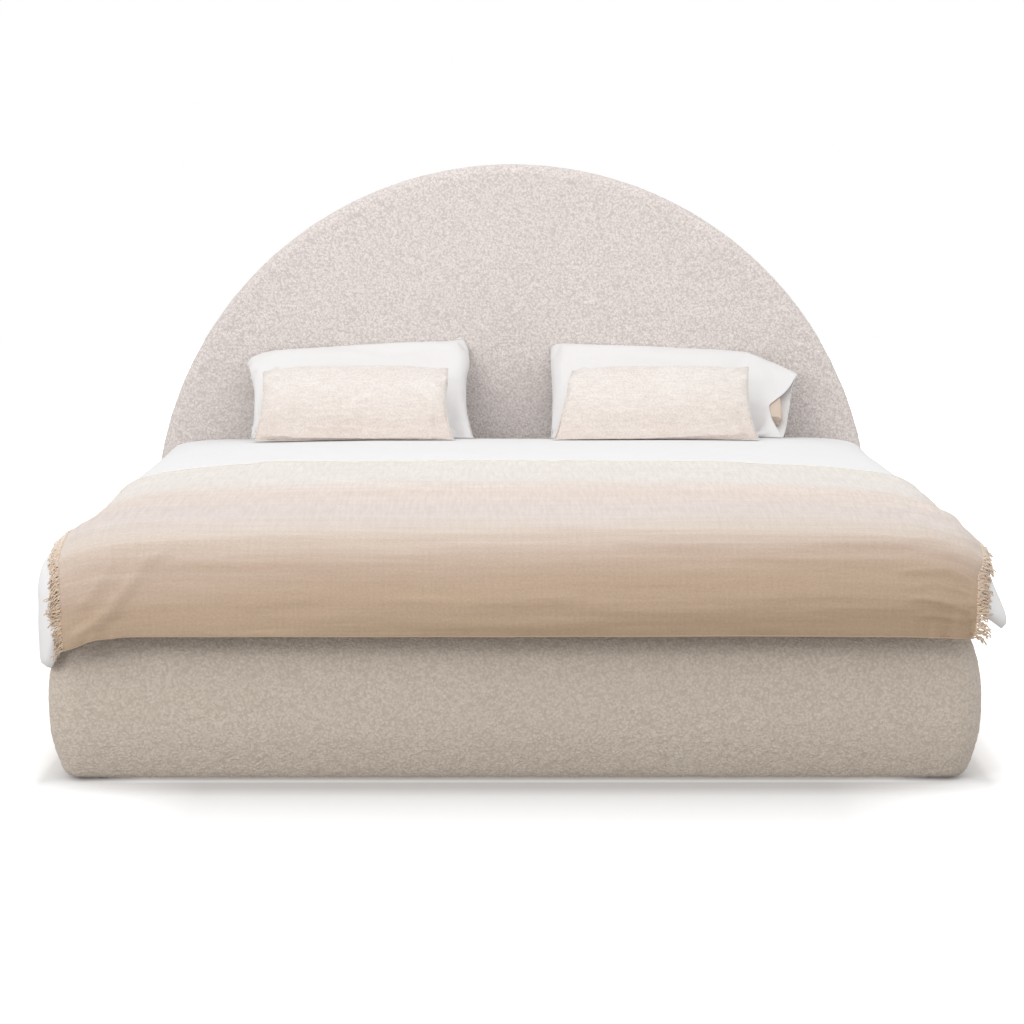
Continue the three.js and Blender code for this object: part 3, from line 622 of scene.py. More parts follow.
# painted shade: the same boucle as the headboard's, darker and warmer on the base, standing in for the lower light on
# the base's front
M["boucle_base"] = boucle_mat("boucle_cream_painted_shade", srgb(221, 211, 200), srgb(191, 178, 166))
M["cotton"] = cotton_mat("cotton_white", srgb(232, 232, 233))
M["pillow"] = cotton_mat("pillow_cotton", srgb(231, 230, 230), bump=.3)
M["throw"] = throw_mat("throw_weave_mat")
M["hem"] = thread_mat("throw_hem_mat", .04, (.97, .97, .985, 1))
M["fringe"] = thread_mat("throw_fringe_mat", .26, (1.10, 1.06, 1.0, 1))
# the last colour is the painted shade low on the cushions' faces
M["linen"] = linen_mat("cushion_linen_mat", srgb(245, 239, 235), srgb(207, 198, 190), (.90, .85, .82, 1))
# painted shade: the insert's beige, seen in the right case's open end, is darkened to stand for the shade inside the
# case as well as the insert's own ticking
M["insert"] = cotton_mat("pillow_insert_painted_shade", srgb(212, 195, 181), 500, .05, .3)
M["ticking"] = cotton_mat("mattress_ticking", srgb(240, 238, 232), 500, .05, .3)
M["timber_x"] = wood_mat("timber_pine_x", srgb(222, 186, 138), srgb(178, 132, 84), "X")
M["timber_y"] = wood_mat("timber_pine_y", srgb(222, 186, 138), srgb(178, 132, 84), "Y")
M["timber_z"] = wood_mat("timber_pine_z", srgb(222, 186, 138), srgb(178, 132, 84), "Z")
M["slat"] = wood_mat("slat_birch", srgb(232, 205, 164), srgb(203, 168, 122), "X", .8)
M["ply"] = ply_mat("plywood_birch")
M["foam"] = foam_mat("foam_cream", srgb(238, 222, 176))
M["bracket"] = metal_mat("bracket_powder", srgb(46, 47, 50), .5, True)
M["zinc"] = metal_mat("zinc_plated", srgb(188, 192, 196), .28, False)
M["glide"] = plastic_mat("glide_black", srgb(30, 30, 31))
M["backcloth"] = cloth_mat("back_cloth_mat", srgb(206, 199, 190))


def assign(ob, mat):
    ob.data.materials.clear()
    ob.data.materials.append(mat)


for name, ob in NODES.items():
    if name.startswith("slat_ledger") or name.startswith("side_board") or name == "centre_beam":
        mat = M["timber_y"]
    elif name.startswith("slat_"):
        mat = M["slat"]
    elif name.startswith("centre_leg") or "stud" in name:
        mat = M["timber_z"]
    elif name in ("foot_board", "head_rail", "headboard_lower_rail"):
        mat = M["timber_x"]
    elif name in ("headboard_face_panel", "headboard_arch_rib"):
        mat = M["ply"]
    elif "foam" in name:
        mat = M["foam"]
    elif name == "headboard_back_panel":
        mat = M["backcloth"]
    elif "bolt" in name:
        mat = M["zinc"]
    elif "bracket" in name or "hanger" in name:
        mat = M["bracket"]
    elif "glide" in name:
        mat = M["glide"]
    else:
        mat = M["boucle"]
    assign(ob, mat)


# ---------------------------------------------------------------- boucle covers
def boucle_relief(P, amp=1.0):
    """Height of the looped pile over the cover's line, metres."""
    q = np.asarray(P)
    h = .0009 * fbm(q / .055, 2, 3) + .0016 * perlin(q / .0165, 5) + .0011 * perlin(q / .0105, 9)
    return amp * h


def foot_cover():
    prof = smooth_line(PROFILE, .0046)
    prof = np.vstack([[prof[0, 0] + .001, prof[0, 1] + .028], prof[:1] + [[0, .012]], prof, [[.340, .1242]], [[.325, .1242]]])
    ncol_f, ncol_a, ncol_s = 452, 24, 10
    rows = []
    for z, ins in prof:
        hw, sf = BASE_HW - ins, ins
        r = max(CORNER_R - ins, .006)
        a = np.linspace(0, math.pi / 2, ncol_a, endpoint=False)
        send = UNIT_T - .0006
        left = np.stack([np.full(ncol_s, -hw), np.linspace(max(send, sf + r + 1e-4), sf + r, ncol_s, endpoint=False)], 1)
        arc1 = np.stack([-(hw - r) - r * np.cos(a), sf + r - r * np.sin(a)], 1)
        front = np.stack([np.linspace(-(hw - r), hw - r, ncol_f, endpoint=False), np.full(ncol_f, sf)], 1)
        arc2 = np.stack([hw - r + r * np.sin(a), sf + r - r * np.cos(a)], 1)
        right = np.stack([np.full(ncol_s + 1, hw), np.linspace(sf + r, max(send, sf + r + 1e-4), ncol_s + 1)], 1)
        c = np.vstack([left, arc1, front, arc2, right])
        rows.append(np.column_stack([c[:, 0], c[:, 1] - S0, np.full(len(c), z)]))
    P = np.array(rows)
    n = grid_normals(P)
    edge = np.ones(P.shape[:2])
    edge[:2] = 0
    edge[-3:] = 0
    # the pile dips a little into the seam at each end
    sdist = UNIT_T - (P[..., 1] + S0)
    seam = np.clip(1 - sdist / .007, 0, 1) ** 2 * ((np.arange(P.shape[1]) < 14) | (np.arange(P.shape[1]) > P.shape[1] - 15))[None]
    P = P + n * ((boucle_relief(P) * edge - .0035 * seam)[..., None])
    ob = make("foot_cover_boucle", P.reshape(-1, 3), grid_faces(*P.shape[:2]))
    # painted shade: the base's darker copy of the headboard boucle
    assign(ob, M["boucle_base"])
    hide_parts("foot_cover"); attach(ob, "frame")
    return ob


def side_cover(side):
    prof = smooth_line(PROFILE, .0058)
    prof = np.vstack([[prof[0, 0] + .001, prof[0, 1] + .028], prof[:1] + [[0, .012]], prof, [[.340, .1242]], [[.325, .1242]]])
    ss = np.linspace(UNIT_T + .0009, BASE_LEN - .0009, 348)
    P = np.empty((len(prof), len(ss), 3))
    P[..., 0] = (BASE_HW - prof[:, 1])[:, None] * side
    P[..., 1] = ss[None] - S0
    P[..., 2] = prof[:, 0][:, None]
    n = grid_normals(P) * (1 if side > 0 else -1)
    if (n[len(prof) // 2, 10, 0] > 0) != (side > 0):
        n = -n
    edge = np.ones(P.shape[:2])
    edge[:2] = 0
    edge[-3:] = 0
    seam = np.maximum(np.clip(1 - (ss - UNIT_T) / .007, 0, 1), np.clip(1 - (BASE_LEN - ss) / .007, 0, 1)) ** 2
    P = P + n * ((boucle_relief(P) * edge - .0035 * seam[None])[..., None])
    tag = "right" if side > 0 else "left"
    ob = make("side_cover_boucle_" + tag, P.reshape(-1, 3), grid_faces(*P.shape[:2], flip=side < 0))
    # painted shade: the base's darker copy of the headboard boucle
    assign(ob, M["boucle_base"])
    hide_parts("side_cover_" + tag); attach(ob, "frame")
    return ob


def head_cover():
    """The half-disc: a flat plan sheet carried over the edge, round the border and in behind."""
    r0 = HEAD_R - HEAD_EDGE
    q = HEAD_EDGE * math.pi / 2
    side = HEAD_T - HEAD_EDGE - .012
    back = .012 * math.pi / 2
    ret = .022
    emax = q + side + back + ret
    xs = np.arange(0, r0 + emax + .006, .0056)
    xs = np.r_[-xs[:0:-1], xs]
    zs = np.r_[np.linspace(.0065, .40, 24), np.arange(.4056, HEAD_CZ + r0 + emax + .006, .0056)]
    X, Z = np.meshgrid(xs, zs)
    up = Z > HEAD_CZ
    rad = np.where(up, np.hypot(X, Z - HEAD_CZ), np.abs(X))
    e = rad - r0
    keep = e <= emax
    q4 = keep[:-1, :-1] & keep[1:, :-1] & keep[:-1, 1:] & keep[1:, 1:]
    # unit outward direction in the x-z plane
    ox = np.where(up, X / np.maximum(rad, 1e-9), np.sign(X))
    oz = np.where(up, (Z - HEAD_CZ) / np.maximum(rad, 1e-9), 0.0)
    # points on the ragged outer line go to the line itself
    used = np.zeros_like(keep)
    used[:-1, :-1] |= q4; used[1:, :-1] |= q4; used[:-1, 1:] |= q4; used[1:, 1:] |= q4
    full = np.zeros_like(keep)
    full[1:-1, 1:-1] = q4[:-1, :-1] & q4[1:, :-1] & q4[:-1, 1:] & q4[1:, 1:]
    full[0, 1:-1] = q4[0, :-1] & q4[0, 1:]
    rim = used & ~full & (e > .05)
    e = np.where(rim, emax, e)
    R = r0 + np.minimum(e, 0)
    o = np.zeros_like(e); d = np.zeros_like(e)      # outward reach beyond r0, depth behind the face
    nr = np.zeros_like(e); nd = np.full_like(e, -1.0)
    a1 = (e > 0) & (e <= q)
    ang = np.where(a1, e / HEAD_EDGE, 0)
    o = np.where(a1, HEAD_EDGE * np.sin(ang), o); d = np.where(a1, HEAD_EDGE * (1 - np.cos(ang)), d)
    nr = np.where(a1, np.sin(ang), nr); nd = np.where(a1, -np.cos(ang), nd)
    a2 = (e > q) & (e <= q + side)
    o = np.where(a2, HEAD_EDGE, o); d = np.where(a2, HEAD_EDGE + e - q, d)
    nr = np.where(a2, 1, nr); nd = np.where(a2, 0, nd)
    a3 = (e > q + side) & (e <= q + side + back)
    ang = np.where(a3, (e - q - side) / .012, 0)
    o = np.where(a3, HEAD_EDGE - .012 * (1 - np.cos(ang)), o); d = np.where(a3, HEAD_T - .012 + .012 * np.sin(ang), d)
    nr = np.where(a3, np.cos(ang), nr); nd = np.where(a3, np.sin(ang), nd)
    a4 = e > q + side + back
    o = np.where(a4, HEAD_EDGE - .012 - (e - q - side - back), o); d = np.where(a4, HEAD_T, d)
    nr = np.where(a4, 0, nr); nd = np.where(a4, 1, nd)
    inner = e <= 0
    px = np.where(inner, X, ox * (r0 + o))
    pz = np.where(inner, Z, np.where(up, HEAD_CZ + oz * (r0 + o), Z))
    crown = .004 * (1 - sstep(-.30, 0, e)) * sstep(.45, .75, Z)
    py = BASE_LEN - S0 + d - crown
    P = np.stack([px, py, pz], -1)
    nrm = np.stack([ox * nr, nd, oz * nr], -1)
    nrm /= np.linalg.norm(nrm, axis=-1, keepdims=True)
    rel = boucle_relief(P) * np.where(a4, 0, 1)
    low = sstep(.40, .46, Z)
    P = P + nrm * (rel * low + .0002)[..., None]
    ids = -np.ones(P.shape[:2], int)
    ids[used] = np.arange(used.sum())
    ii, jj = np.nonzero(q4)
    F = np.stack([ids[ii, jj], ids[ii, jj + 1], ids[ii + 1, jj + 1], ids[ii + 1, jj]], 1)
    ob = make("headboard_cover_boucle", P[used], F)
    assign(ob, M["boucle"])
    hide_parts("headboard_cover"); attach(ob, "frame")
    return ob


foot_cover()
side_cover(-1)
side_cover(1)
head_cover()

# ---------------------------------------------------------------- cloth solver (position based, deterministic)
def colour_edges(E, rest, k_st, k_co, nv):
    """Groups of edges that share no vertex."""
    used = [0] * nv
    col = np.empty(len(E), int)
    for n, (a, b) in enumerate(E.tolist()):
        m = used[a] | used[b]
        c = 0
        while m >> c & 1:
            c += 1
        used[a] |= 1 << c
        used[b] |= 1 << c
        col[n] = c
    out = []
    for c in range(col.max() + 1):
        s = col == c
        out.append((E[s, 0], E[s, 1], rest[s][:, None], k_st[s][:, None], k_co[s][:, None]))
    return out


def solve(P, groups, inv, steps, dt, gravity, iters, pressure=None, tris=None, collide=None, every=3, damp=.98,
          volume=None):
    P = P.copy()
    V = np.zeros_like(P)
    w = inv[:, None]
    pre = []
    for I, J, L, ks, kc in groups:
        wi, wj = w[I], w[J]
        pre.append((I, J, L, ks, kc, wi, wj, 1 / np.maximum(wi + wj, 1e-9)))
    for st in range(steps):
        A = np.zeros_like(P)
        A[:, 2] = -gravity
        if pressure:
            p0, p1, p2 = P[tris[:, 0]], P[tris[:, 1]], P[tris[:, 2]]
            n = np.cross(p1 - p0, p2 - p0) / 6
            f = np.empty_like(P)
            for c in range(3):
                f[:, c] = sum(np.bincount(tris[:, k], n[:, c], len(P)) for k in range(3))
            push = pressure
            if volume:
                vol = np.einsum("ij,ij->i", p0, np.cross(p1, p2)).sum() / 6
                push = pressure * max(-.2, 1 - vol / volume) * min(1, (st + 1) / 8)
            A += f * push
        Q = P + (V * dt + A * dt * dt) * (w > 0)
        for it in range(iters):
            for I, J, L, ks, kc, wi, wj, iw in pre:
                d = Q[J] - Q[I]
                l = np.sqrt((d * d).sum(1, keepdims=True)) + 1e-12
                e = l - L
                c = d * (np.where(e > 0, ks, kc) * e / l * iw)
                Q[I] += c * wi
                Q[J] -= c * wj
            if collide is not None and (it % every == every - 1 or it == iters - 1):
                Q = collide(Q, P)
        V = (Q - P) / dt * damp
        P = Q
    return P


def grid_edges(n, m, P, ids, bend=.1, shear=.6, co=.6, kst=1.0):
    """Edges, rests and stiffnesses of an n x m grid whose vertex numbers are ids and rest shape P (n,m,3)."""
    E, R, S, C = [], [], [], []

    def put(a, b, pa, pb, s, c):
        E.append(np.stack([a.ravel(), b.ravel()], 1))
        r = np.linalg.norm(pa - pb, axis=-1).ravel()
        R.append(r); S.append(np.full(len(r), s)); C.append(np.full(len(r), c))
    put(ids[:, :-1], ids[:, 1:], P[:, :-1], P[:, 1:], kst, co)
    put(ids[:-1], ids[1:], P[:-1], P[1:], kst, co)
    put(ids[:-1, :-1], ids[1:, 1:], P[:-1, :-1], P[1:, 1:], shear, shear * .6)
    put(ids[1:, :-1], ids[:-1, 1:], P[1:, :-1], P[:-1, 1:], shear, shear * .6)
    if bend:
        put(ids[:, :-2], ids[:, 2:], P[:, :-2], P[:, 2:], 0, bend)
        put(ids[:-2], ids[2:], P[:-2], P[2:], 0, bend)
    return E, R, S, C


def upsample(P, k):
    """Catmull-Rom upsampling of a grid (n,m,c) by a whole factor."""
    def along(Q):
        n = len(Q)
        t = np.arange((n - 1) * k + 1) / k
        i = np.minimum(t.astype(int), n - 2)
        f = (t - i).reshape(-1, *([1] * (Q.ndim - 1)))
        p0, p1, p2, p3 = Q[np.maximum(i - 1, 0)], Q[i], Q[i + 1], Q[np.minimum(i + 2, n - 1)]
        p0 = np.where((i == 0).reshape(f.shape), 2 * p1 - p2, p0)
        p3 = np.where((i == n - 2).reshape(f.shape), 2 * p2 - p1, p3)
        return .5 * (2 * p1 + (p2 - p0) * f + (2 * p0 - 5 * p1 + 4 * p2 - p3) * f ** 2 + (3 * p1 - p0 - 3 * p2 + p3) * f ** 3)
    P = along(P)
    return np.swapaxes(along(np.swapaxes(P, 0, 1)), 0, 1)


# ---------------------------------------------------------------- mattress
def mattress():
    lo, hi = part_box("mattress")
    hx, hy = (hi[0] - lo[0]) / 2, (hi[1] - lo[1]) / 2
    cy = (hi[1] + lo[1]) / 2
    z0, z1 = lo[2], hi[2]
    R = .085
    # side profile: outset from the border line, height; a tape bead at the top and bottom edge
    prof = [(-.40, .002), (-.20, .001), (-.060, .002), (-.026, .006), (-.010, .016), (-.0045, .021), (.0005, .0245), (.0005, .0285), (-.0045, .032),
            (-.0055, .045), (-.0020, .080), (-.0005, .110), (0, .140)]
    prof = np.array(prof)
    top = prof[::-1].copy()
    top[:, 1] = (z1 - z0) - top[:, 1]
    prof = np.vstack([prof, top[1:]])
    fine = smooth_line(prof, .010)
    rows = []
    cnt = (34, 14, 110, 100)
    for o, z in fine:
        c = contour(hx + o, -hy - o, hy + o, max(R + o, .02) if o > -.06 else R, max(R + o, .02) if o > -.06 else R, cnt)
        rows.append(np.column_stack([c[:, 0], c[:, 1] + cy, np.full(len(c), z0 + z)]))
    P = np.array(rows)
    n = len(P[0])
    # quilted top: shallow pillows between stitch lines
    qx = np.sin(P[..., 0] / .115 * math.pi) ** 2
    qy = np.sin((P[..., 1] - cy) / .115 * math.pi) ** 2
    top_w = sstep(z1 - .012, z1 - .004, P[..., 2])
    P[..., 2] -= top_w * .004 * (1 - np.sqrt(qx * qy))
    P = np.clip(P, [lo[0], lo[1], lo[2]], [hi[0], hi[1], hi[2]])
    V = P.reshape(-1, 3)
    F = grid_faces(len(P), n, close=True, flip=True).tolist()
    c0, c1 = len(V), len(V) + 1
    V = np.vstack([V, [[0, cy, P[0, :, 2].mean()]], [[0, cy, P[-1, :, 2].mean()]]])
    F += [(j, (j + 1) % n, c0) for j in range(n)]
    b = (len(P) - 1) * n
    F += [(b + (j + 1) % n, b + j, c1) for j in range(n)]
    ob = make("mattress_body", V, F)
    assign(ob, M["ticking"])
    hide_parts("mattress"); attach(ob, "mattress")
    return ob


mattress()

# ---------------------------------------------------------------- duvet
def contour_pts(L, kind, t):
    hw, sf, sh, rf, rh = (L[..., c] for c in range(5))
    rf = np.minimum(np.minimum(rf, hw * .98), (sh - sf) * .49)
    rh = np.minimum(np.minimum(rh, hw * .98), (sh - sf) * .49)
    a = t * math.pi / 2
    ca, sa = np.cos(a), np.sin(a)
    X = [-t * (hw - rh), -(hw - rh) - rh * sa, -hw + 0 * t, -(hw - rf) - rf * ca, -(hw - rf) + 2 * (hw - rf) * t,
         hw - rf + rf * sa, hw + 0 * t, hw - rh + rh * ca, (hw - rh) * (1 - t)]
    S = [sh + 0 * t, sh - rh + rh * ca, (sh - rh) + ((sf + rf) - (sh - rh)) * t, sf + rf - rf * sa, sf + 0 * t,
         sf + rf - rf * ca, (sf + rf) + ((sh - rh) - (sf + rf)) * t, sh - rh + rh * sa, sh + 0 * t]
    x = np.zeros(np.broadcast(hw, kind).shape)
    s = np.zeros_like(x)
    for k in range(9):
        m = np.broadcast_to(kind == k, x.shape)
        x = np.where(m, X[k], x)
        s = np.where(m, S[k], s)
    return x, s


def level(z):
    k = (np.clip(z, .101, .699) - .10) / .0005
    i = k.astype(int)
    f = (k - i)[..., None]
    return _LEV[i] * (1 - f) + _LEV[np.minimum(i + 1, len(_LEV) - 1)] * f


def fullness(x, y):
    """The duvet is fuller towards the head, and puffs up in front of the cushions."""
    puff = .0065 * np.exp(-((y - .62) / .17) ** 2) * sstep(.98, .70, np.abs(x))
    return (.0115 + .0048 * x) * np.clip((y - .1175) / .78, 0, 1) + puff


def duvet_swell(P):
    """How far the filling pushes the duvet out of its plain form."""
    x, y, z = P[..., 0], P[..., 1], P[..., 2]
    top = sstep(.50, .57, z)
    soft = .0065 * perlin(np.stack([x / .42, y / .34, z / .5], -1), 21) + .0030 * perlin(np.stack([x / .17, y / .15, z / .2], -1), 23)
    side = np.abs(x) > 1.0
    fold = perlin(np.stack([np.sign(x) * 3.3 + 0 * x, y / .19, z / .55], -1), 31) + .45 * perlin(np.stack([np.sign(x) * 1.7 + 0 * x, y / .085, z / .4], -1), 33)
    amp = .020 * sstep(.50, .27, z) * side
    front = .006 * sstep(.50, .38, z) * perlin(np.stack([x / .24, 0 * y, z / .5], -1), 37) * (y < -1.02)
    full = fullness(x, y) * sstep(.53, .60, z)
    return soft * (1 - .55 * top) + fold * amp + front + full


HEM_L, HEM_R = .250, .348


def duvet():
    cnt = [(0, 14), (1, 8), (2, 120), (3, 22), (4, 118), (5, 22), (6, 120), (7, 8), (8, 14)]
    kind = np.concatenate([np.full(n, k) for k, n in cnt])
    t = np.concatenate([np.arange(n) / n for k, n in cnt])
    ncol = len(kind)
    # hem height round the duvet: low on the left, higher on the right, short over the foot
    Lh = level(np.full(ncol, .30))
    hx, hs = contour_pts(Lh, kind, t)
    foot_w = sstep(1.088, 1.035, np.abs(hx)) * (hs < .3)
    left, right = hx < 0, hx >= 0
    hem = np.where(left, HEM_L + .013 * sstep(.75, .35, hs) + .010 * perlin(np.stack([hs / .30, 0 * hs, 0 * hs], -1), 41),
                   HEM_R - .088 * sstep(.22, .60, hs) + .012 * perlin(np.stack([hs / .27, 0 * hs + 5.5, 0 * hs], -1), 43))
    hem = hem * (1 - foot_w) + .352 * foot_w
    # the right foot corner is pulled up under the throw
    pull = right * (hs < .30) * sstep(.97, 1.02, hx)
    hem = hem * (1 - pull) + pull * np.clip(.357 + (1.086 - hx) * 1.0, .357, .42)
    # shared rows above the shoulder, even along the surface
    zf = np.linspace(.50, .6097, 2000)
    Lf = level(zf)
    ds = np.sqrt(np.gradient(zf) ** 2 + (np.gradient(Lf[:, 0]) ** 2 + np.gradient(Lf[:, 1]) ** 2) / 2)
    cs = np.cumsum(ds)
    zrow = np.interp(np.linspace(cs[0], cs[-1], 78), cs, zf)
    nlow = 20
    low = hem[None] + (.50 - hem)[None] * (np.linspace(0, 1, nlow, endpoint=False) ** 1.05)[:, None]
    Z = np.vstack([low, np.repeat(zrow[:, None], ncol, 1)])
    L = level(Z)
    X, S = contour_pts(L, kind[None], t[None])
    X = X * side_scale(X, S, Z)
    P = np.stack([X, S - S0, Z], -1)
    # the hem: filling thins to a seam in the middle of the thickness
    N = grid_normals(P, close=True)
    mid = P[len(P) // 4]
    d, g = duvet_d(P)
    if (N * g).sum() < 0:
        N = -N
    away = P[..., 2] - hem[None]
    thick = .030
    inset = (thick / 2) * (1 - np.sqrt(np.clip(1 - (1 - np.clip(away / .030, 0, 1)) ** 2, 0, 1)))
    grow = duvet_swell(P)
    headward = sstep(BASE_LEN - .030, BASE_LEN - .120, P[..., 1] + S0)
    P = P + N * (grow * headward - inset)[..., None]
    P[..., 1] = np.minimum(P[..., 1], BASE_LEN - S0 - .007)
    # fine wrinkles along the sides, from the hem seam up
    wr = perlin(np.stack([P[..., 0] / .3, P[..., 1] / .028, P[..., 2] / .16], -1), 51)
    P = P + N * (.0022 * wr * sstep(.47, .30, P[..., 2]) * (np.abs(P[..., 0]) > 1.0))[..., None]
    # inside
    Pi = []
    base = P[:nlow]
    Nn = N[:nlow]
    aw = away[:nlow]
    for r in range(0, nlow, 2):
        th = 2 * (thick / 2 - inset[r])
        if r == 0:
            th = th * 0 + .002
        Pi.append(base[r] - Nn[r] * th[:, None])
    zz = [.515, .535, .5485]
    for z, o in zip(zz, (.045, .060, .085)):
        Lz = level(np.full(ncol, z))
        Lz[:, 0] -= o; Lz[:, 1] += o; Lz[:, 2] -= .004; Lz[:, 3] = np.maximum(Lz[:, 3] - o * .5, .05)
        x, s = contour_pts(Lz, kind, t)
        x = x * side_scale(x, s, np.full(ncol, z))
        Pi.append(np.stack([x, s - S0, np.full(ncol, z)], -1))
    ctr = np.array([0, 1.2 - S0, .5515])
    last = Pi[-1]
    for f in (.92, .75, .5, .25, .08):
        q = ctr + (last - ctr) * f
        q[:, 2] = .5515
        Pi.append(q)
    Pi = np.array(Pi)
    # crown, closing to the middle
    cap = []
    c0 = np.array([0, 1.22 - S0, P[-1, :, 2].mean() + .001])
    edge_full = fullness(P[-1, :, 0], P[-1, :, 1])
    for f in (.93, .85, .76, .68, .60, .51, .42, .33, .25, .18, .07):
        q = c0 + (P[-1] - c0) * f
        q[:, 2] += fullness(q[:, 0], q[:, 1]) - f * edge_full
        cap.append(q)
    A = np.concatenate([Pi[::-1], P, np.array(cap)], 0)
    V = A.reshape(-1, 3)
    n = A.shape[0]
    F = grid_faces(n, ncol, close=True).tolist()
    V = np.vstack([V, [[0, ctr[1], .5515]], [c0]])
    F += [(j, (j + 1) % ncol, n * ncol) for j in range(ncol)]
    b = (n - 1) * ncol
    F += [(b + (j + 1) % ncol, b + j, n * ncol + 1) for j in range(ncol)]
    ob = make("duvet_body", V, F)
    global DUVET_TOP
    DUVET_TOP = BVHTree.FromPolygons(V.tolist(), [list(map(int, c)) for c in F])
    import bmesh
    bm = bmesh.new(); bm.from_mesh(ob.data)
    bmesh.ops.recalc_face_normals(bm, faces=bm.faces[:])
    bm.to_mesh(ob.data); bm.free()
    assign(ob, M["cotton"])
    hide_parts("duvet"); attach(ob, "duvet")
    return ob


duvet()

# ---------------------------------------------------------------- throw
THROW_W, THROW_L = 2.074, 1.26
THROW_HEAD_S = 1.07
A_LEFT = -1.016


def throw_rest():
    """Where the cloth is laid before it drops: arc length across and along the duvet."""
    h = .0158
    na, nb = int(round(THROW_W / h)) + 1, int(round(THROW_L / h)) + 1
    a = A_LEFT + np.linspace(0, THROW_W, na)
    b = np.linspace(0, THROW_L, nb)
    z = np.arange(.24, .6095, .0005)
    Lz = level(z)
    # across: from the crown out over the shoulder
    cx = np.r_[Lz[::-1, 0]]
    cz = z[::-1]
    cx = np.r_[0, cx]; cz = np.r_[.6105, cz]
    arc = np.r_[0, np.cumsum(np.hypot(np.diff(cx), np.diff(cz)))]
    ax = np.interp(np.abs(a), arc, cx) * np.sign(a)
    adrop = .6105 - np.interp(np.abs(a), arc, cz)
    # along: from the head edge to the foot and down it
    fs = Lz[::-1, 1]
    fz = z[::-1]
    m = fs < THROW_HEAD_S
    fs = np.r_[THROW_HEAD_S, fs[m]]; fz = np.r_[.6095, fz[m]]
    arcb = np.r_[0, np.cumsum(np.hypot(np.diff(fs), np.diff(fz)))]
    bs = np.interp(b, arcb, fs)
    bz = np.interp(b, arcb, fz)
    A, B = np.meshgrid(a, b)
    X = np.repeat(ax[None], nb, 0)
    S = np.repeat(bs[:, None], na, 1)
    Zc = np.repeat(bz[:, None], na, 1)
    drop = np.repeat(adrop[None], nb, 0)
    # the foot drop keeps its own height; the shoulder's drop fades into it
    onfoot = sstep(.60, .50, Zc)
    Z = Zc - drop * (1 - onfoot)
    Z = np.minimum(Z, Zc)
    P = np.stack([X, S - S0, Z + .012], -1)
    flat = np.stack([A, B, 0 * A], -1)
    return P, flat, na, nb


def throw():
    P, flat, na, nb = throw_rest()
    ids = np.arange(na * nb).reshape(nb, na)
    E, R, S, C = grid_edges(nb, na, flat, ids, bend=.22, shear=.35, co=.85)
    groups = colour_edges(np.vstack(E), np.concatenate(R), np.concatenate(S), np.concatenate(C), na * nb)
    inv = np.ones(na * nb)
    inv[ids[:32, 12:-12].ravel()] = .02

    def collide(Q, P0):
        d, n = duvet_d(Q, duvet_swell)
        pen = .0050 - d
        hit = pen > 0
        Q = Q + n * np.where(hit, pen, 0)[:, None]
        mv = Q - P0
        tang = mv - (mv * n).sum(1, keepdims=True) * n
        Q = Q - tang * np.where(d < .0056, .35, 0)[:, None]
        return Q
    steps = 90
    out = solve(P.reshape(-1, 3), groups, inv, steps, 1 / 60, 9.81, 10, collide=collide, every=3, damp=.965)
    G = out.reshape(nb, na, 3)
    return G, flat


def settle(G, flat):
    """The foot hem is evened out and the side edges are drawn in at the corners."""
    P = G.copy()
    z, x = P[..., 2].copy(), P[..., 0].copy()
    hem = z[-1]
    want = np.interp(x[-1], [-1.01, -.962, -.930, -.855, -.60, .60, .85, 1.05], [.313, .333, .343, .350, .351, .351, .350, .346])
    k = np.clip((.53 - z) / (.53 - hem)[None], 0, 1.2) ** 1.15
    P[..., 2] = z + (want - hem)[None] * k
    drop = sstep(.545, .44, z)
    P[..., 0] = x + drop * (.012 * sstep(-.84, -1.0, x) - .038 * sstep(.80, 1.04, x))
    return P


def fold(uv, line, wide, high, sharp=.5, end=.05):
    """A fold along a line drawn on the cloth: a rounded ridge that falls more steeply on one side."""
    line = np.asarray(line, float)
    a, b = uv[..., 0], uv[..., 1]
    best, side, pos = np.full(a.shape, 9.0), np.zeros(a.shape), np.zeros(a.shape)
    run = 0
    for p, q in zip(line[:-1], line[1:]):
        d = q - p
        L = math.hypot(*d)
        u = np.clip(((a - p[0]) * d[0] + (b - p[1]) * d[1]) / L ** 2, 0, 1)
        ex, ey = a - p[0] - u * d[0], b - p[1] - u * d[1]
        r = np.hypot(ex, ey)
        m = r < best
        best = np.where(m, r, best)
        side = np.where(m, np.sign(d[0] * ey - d[1] * ex), side)
        pos = np.where(m, run + u * L, pos)
        run += L
    w = np.where(side > 0, wide, wide * sharp)
    return high * np.exp(-(best / w) ** 2) * sstep(0, end, pos) * sstep(0, end, run - pos)


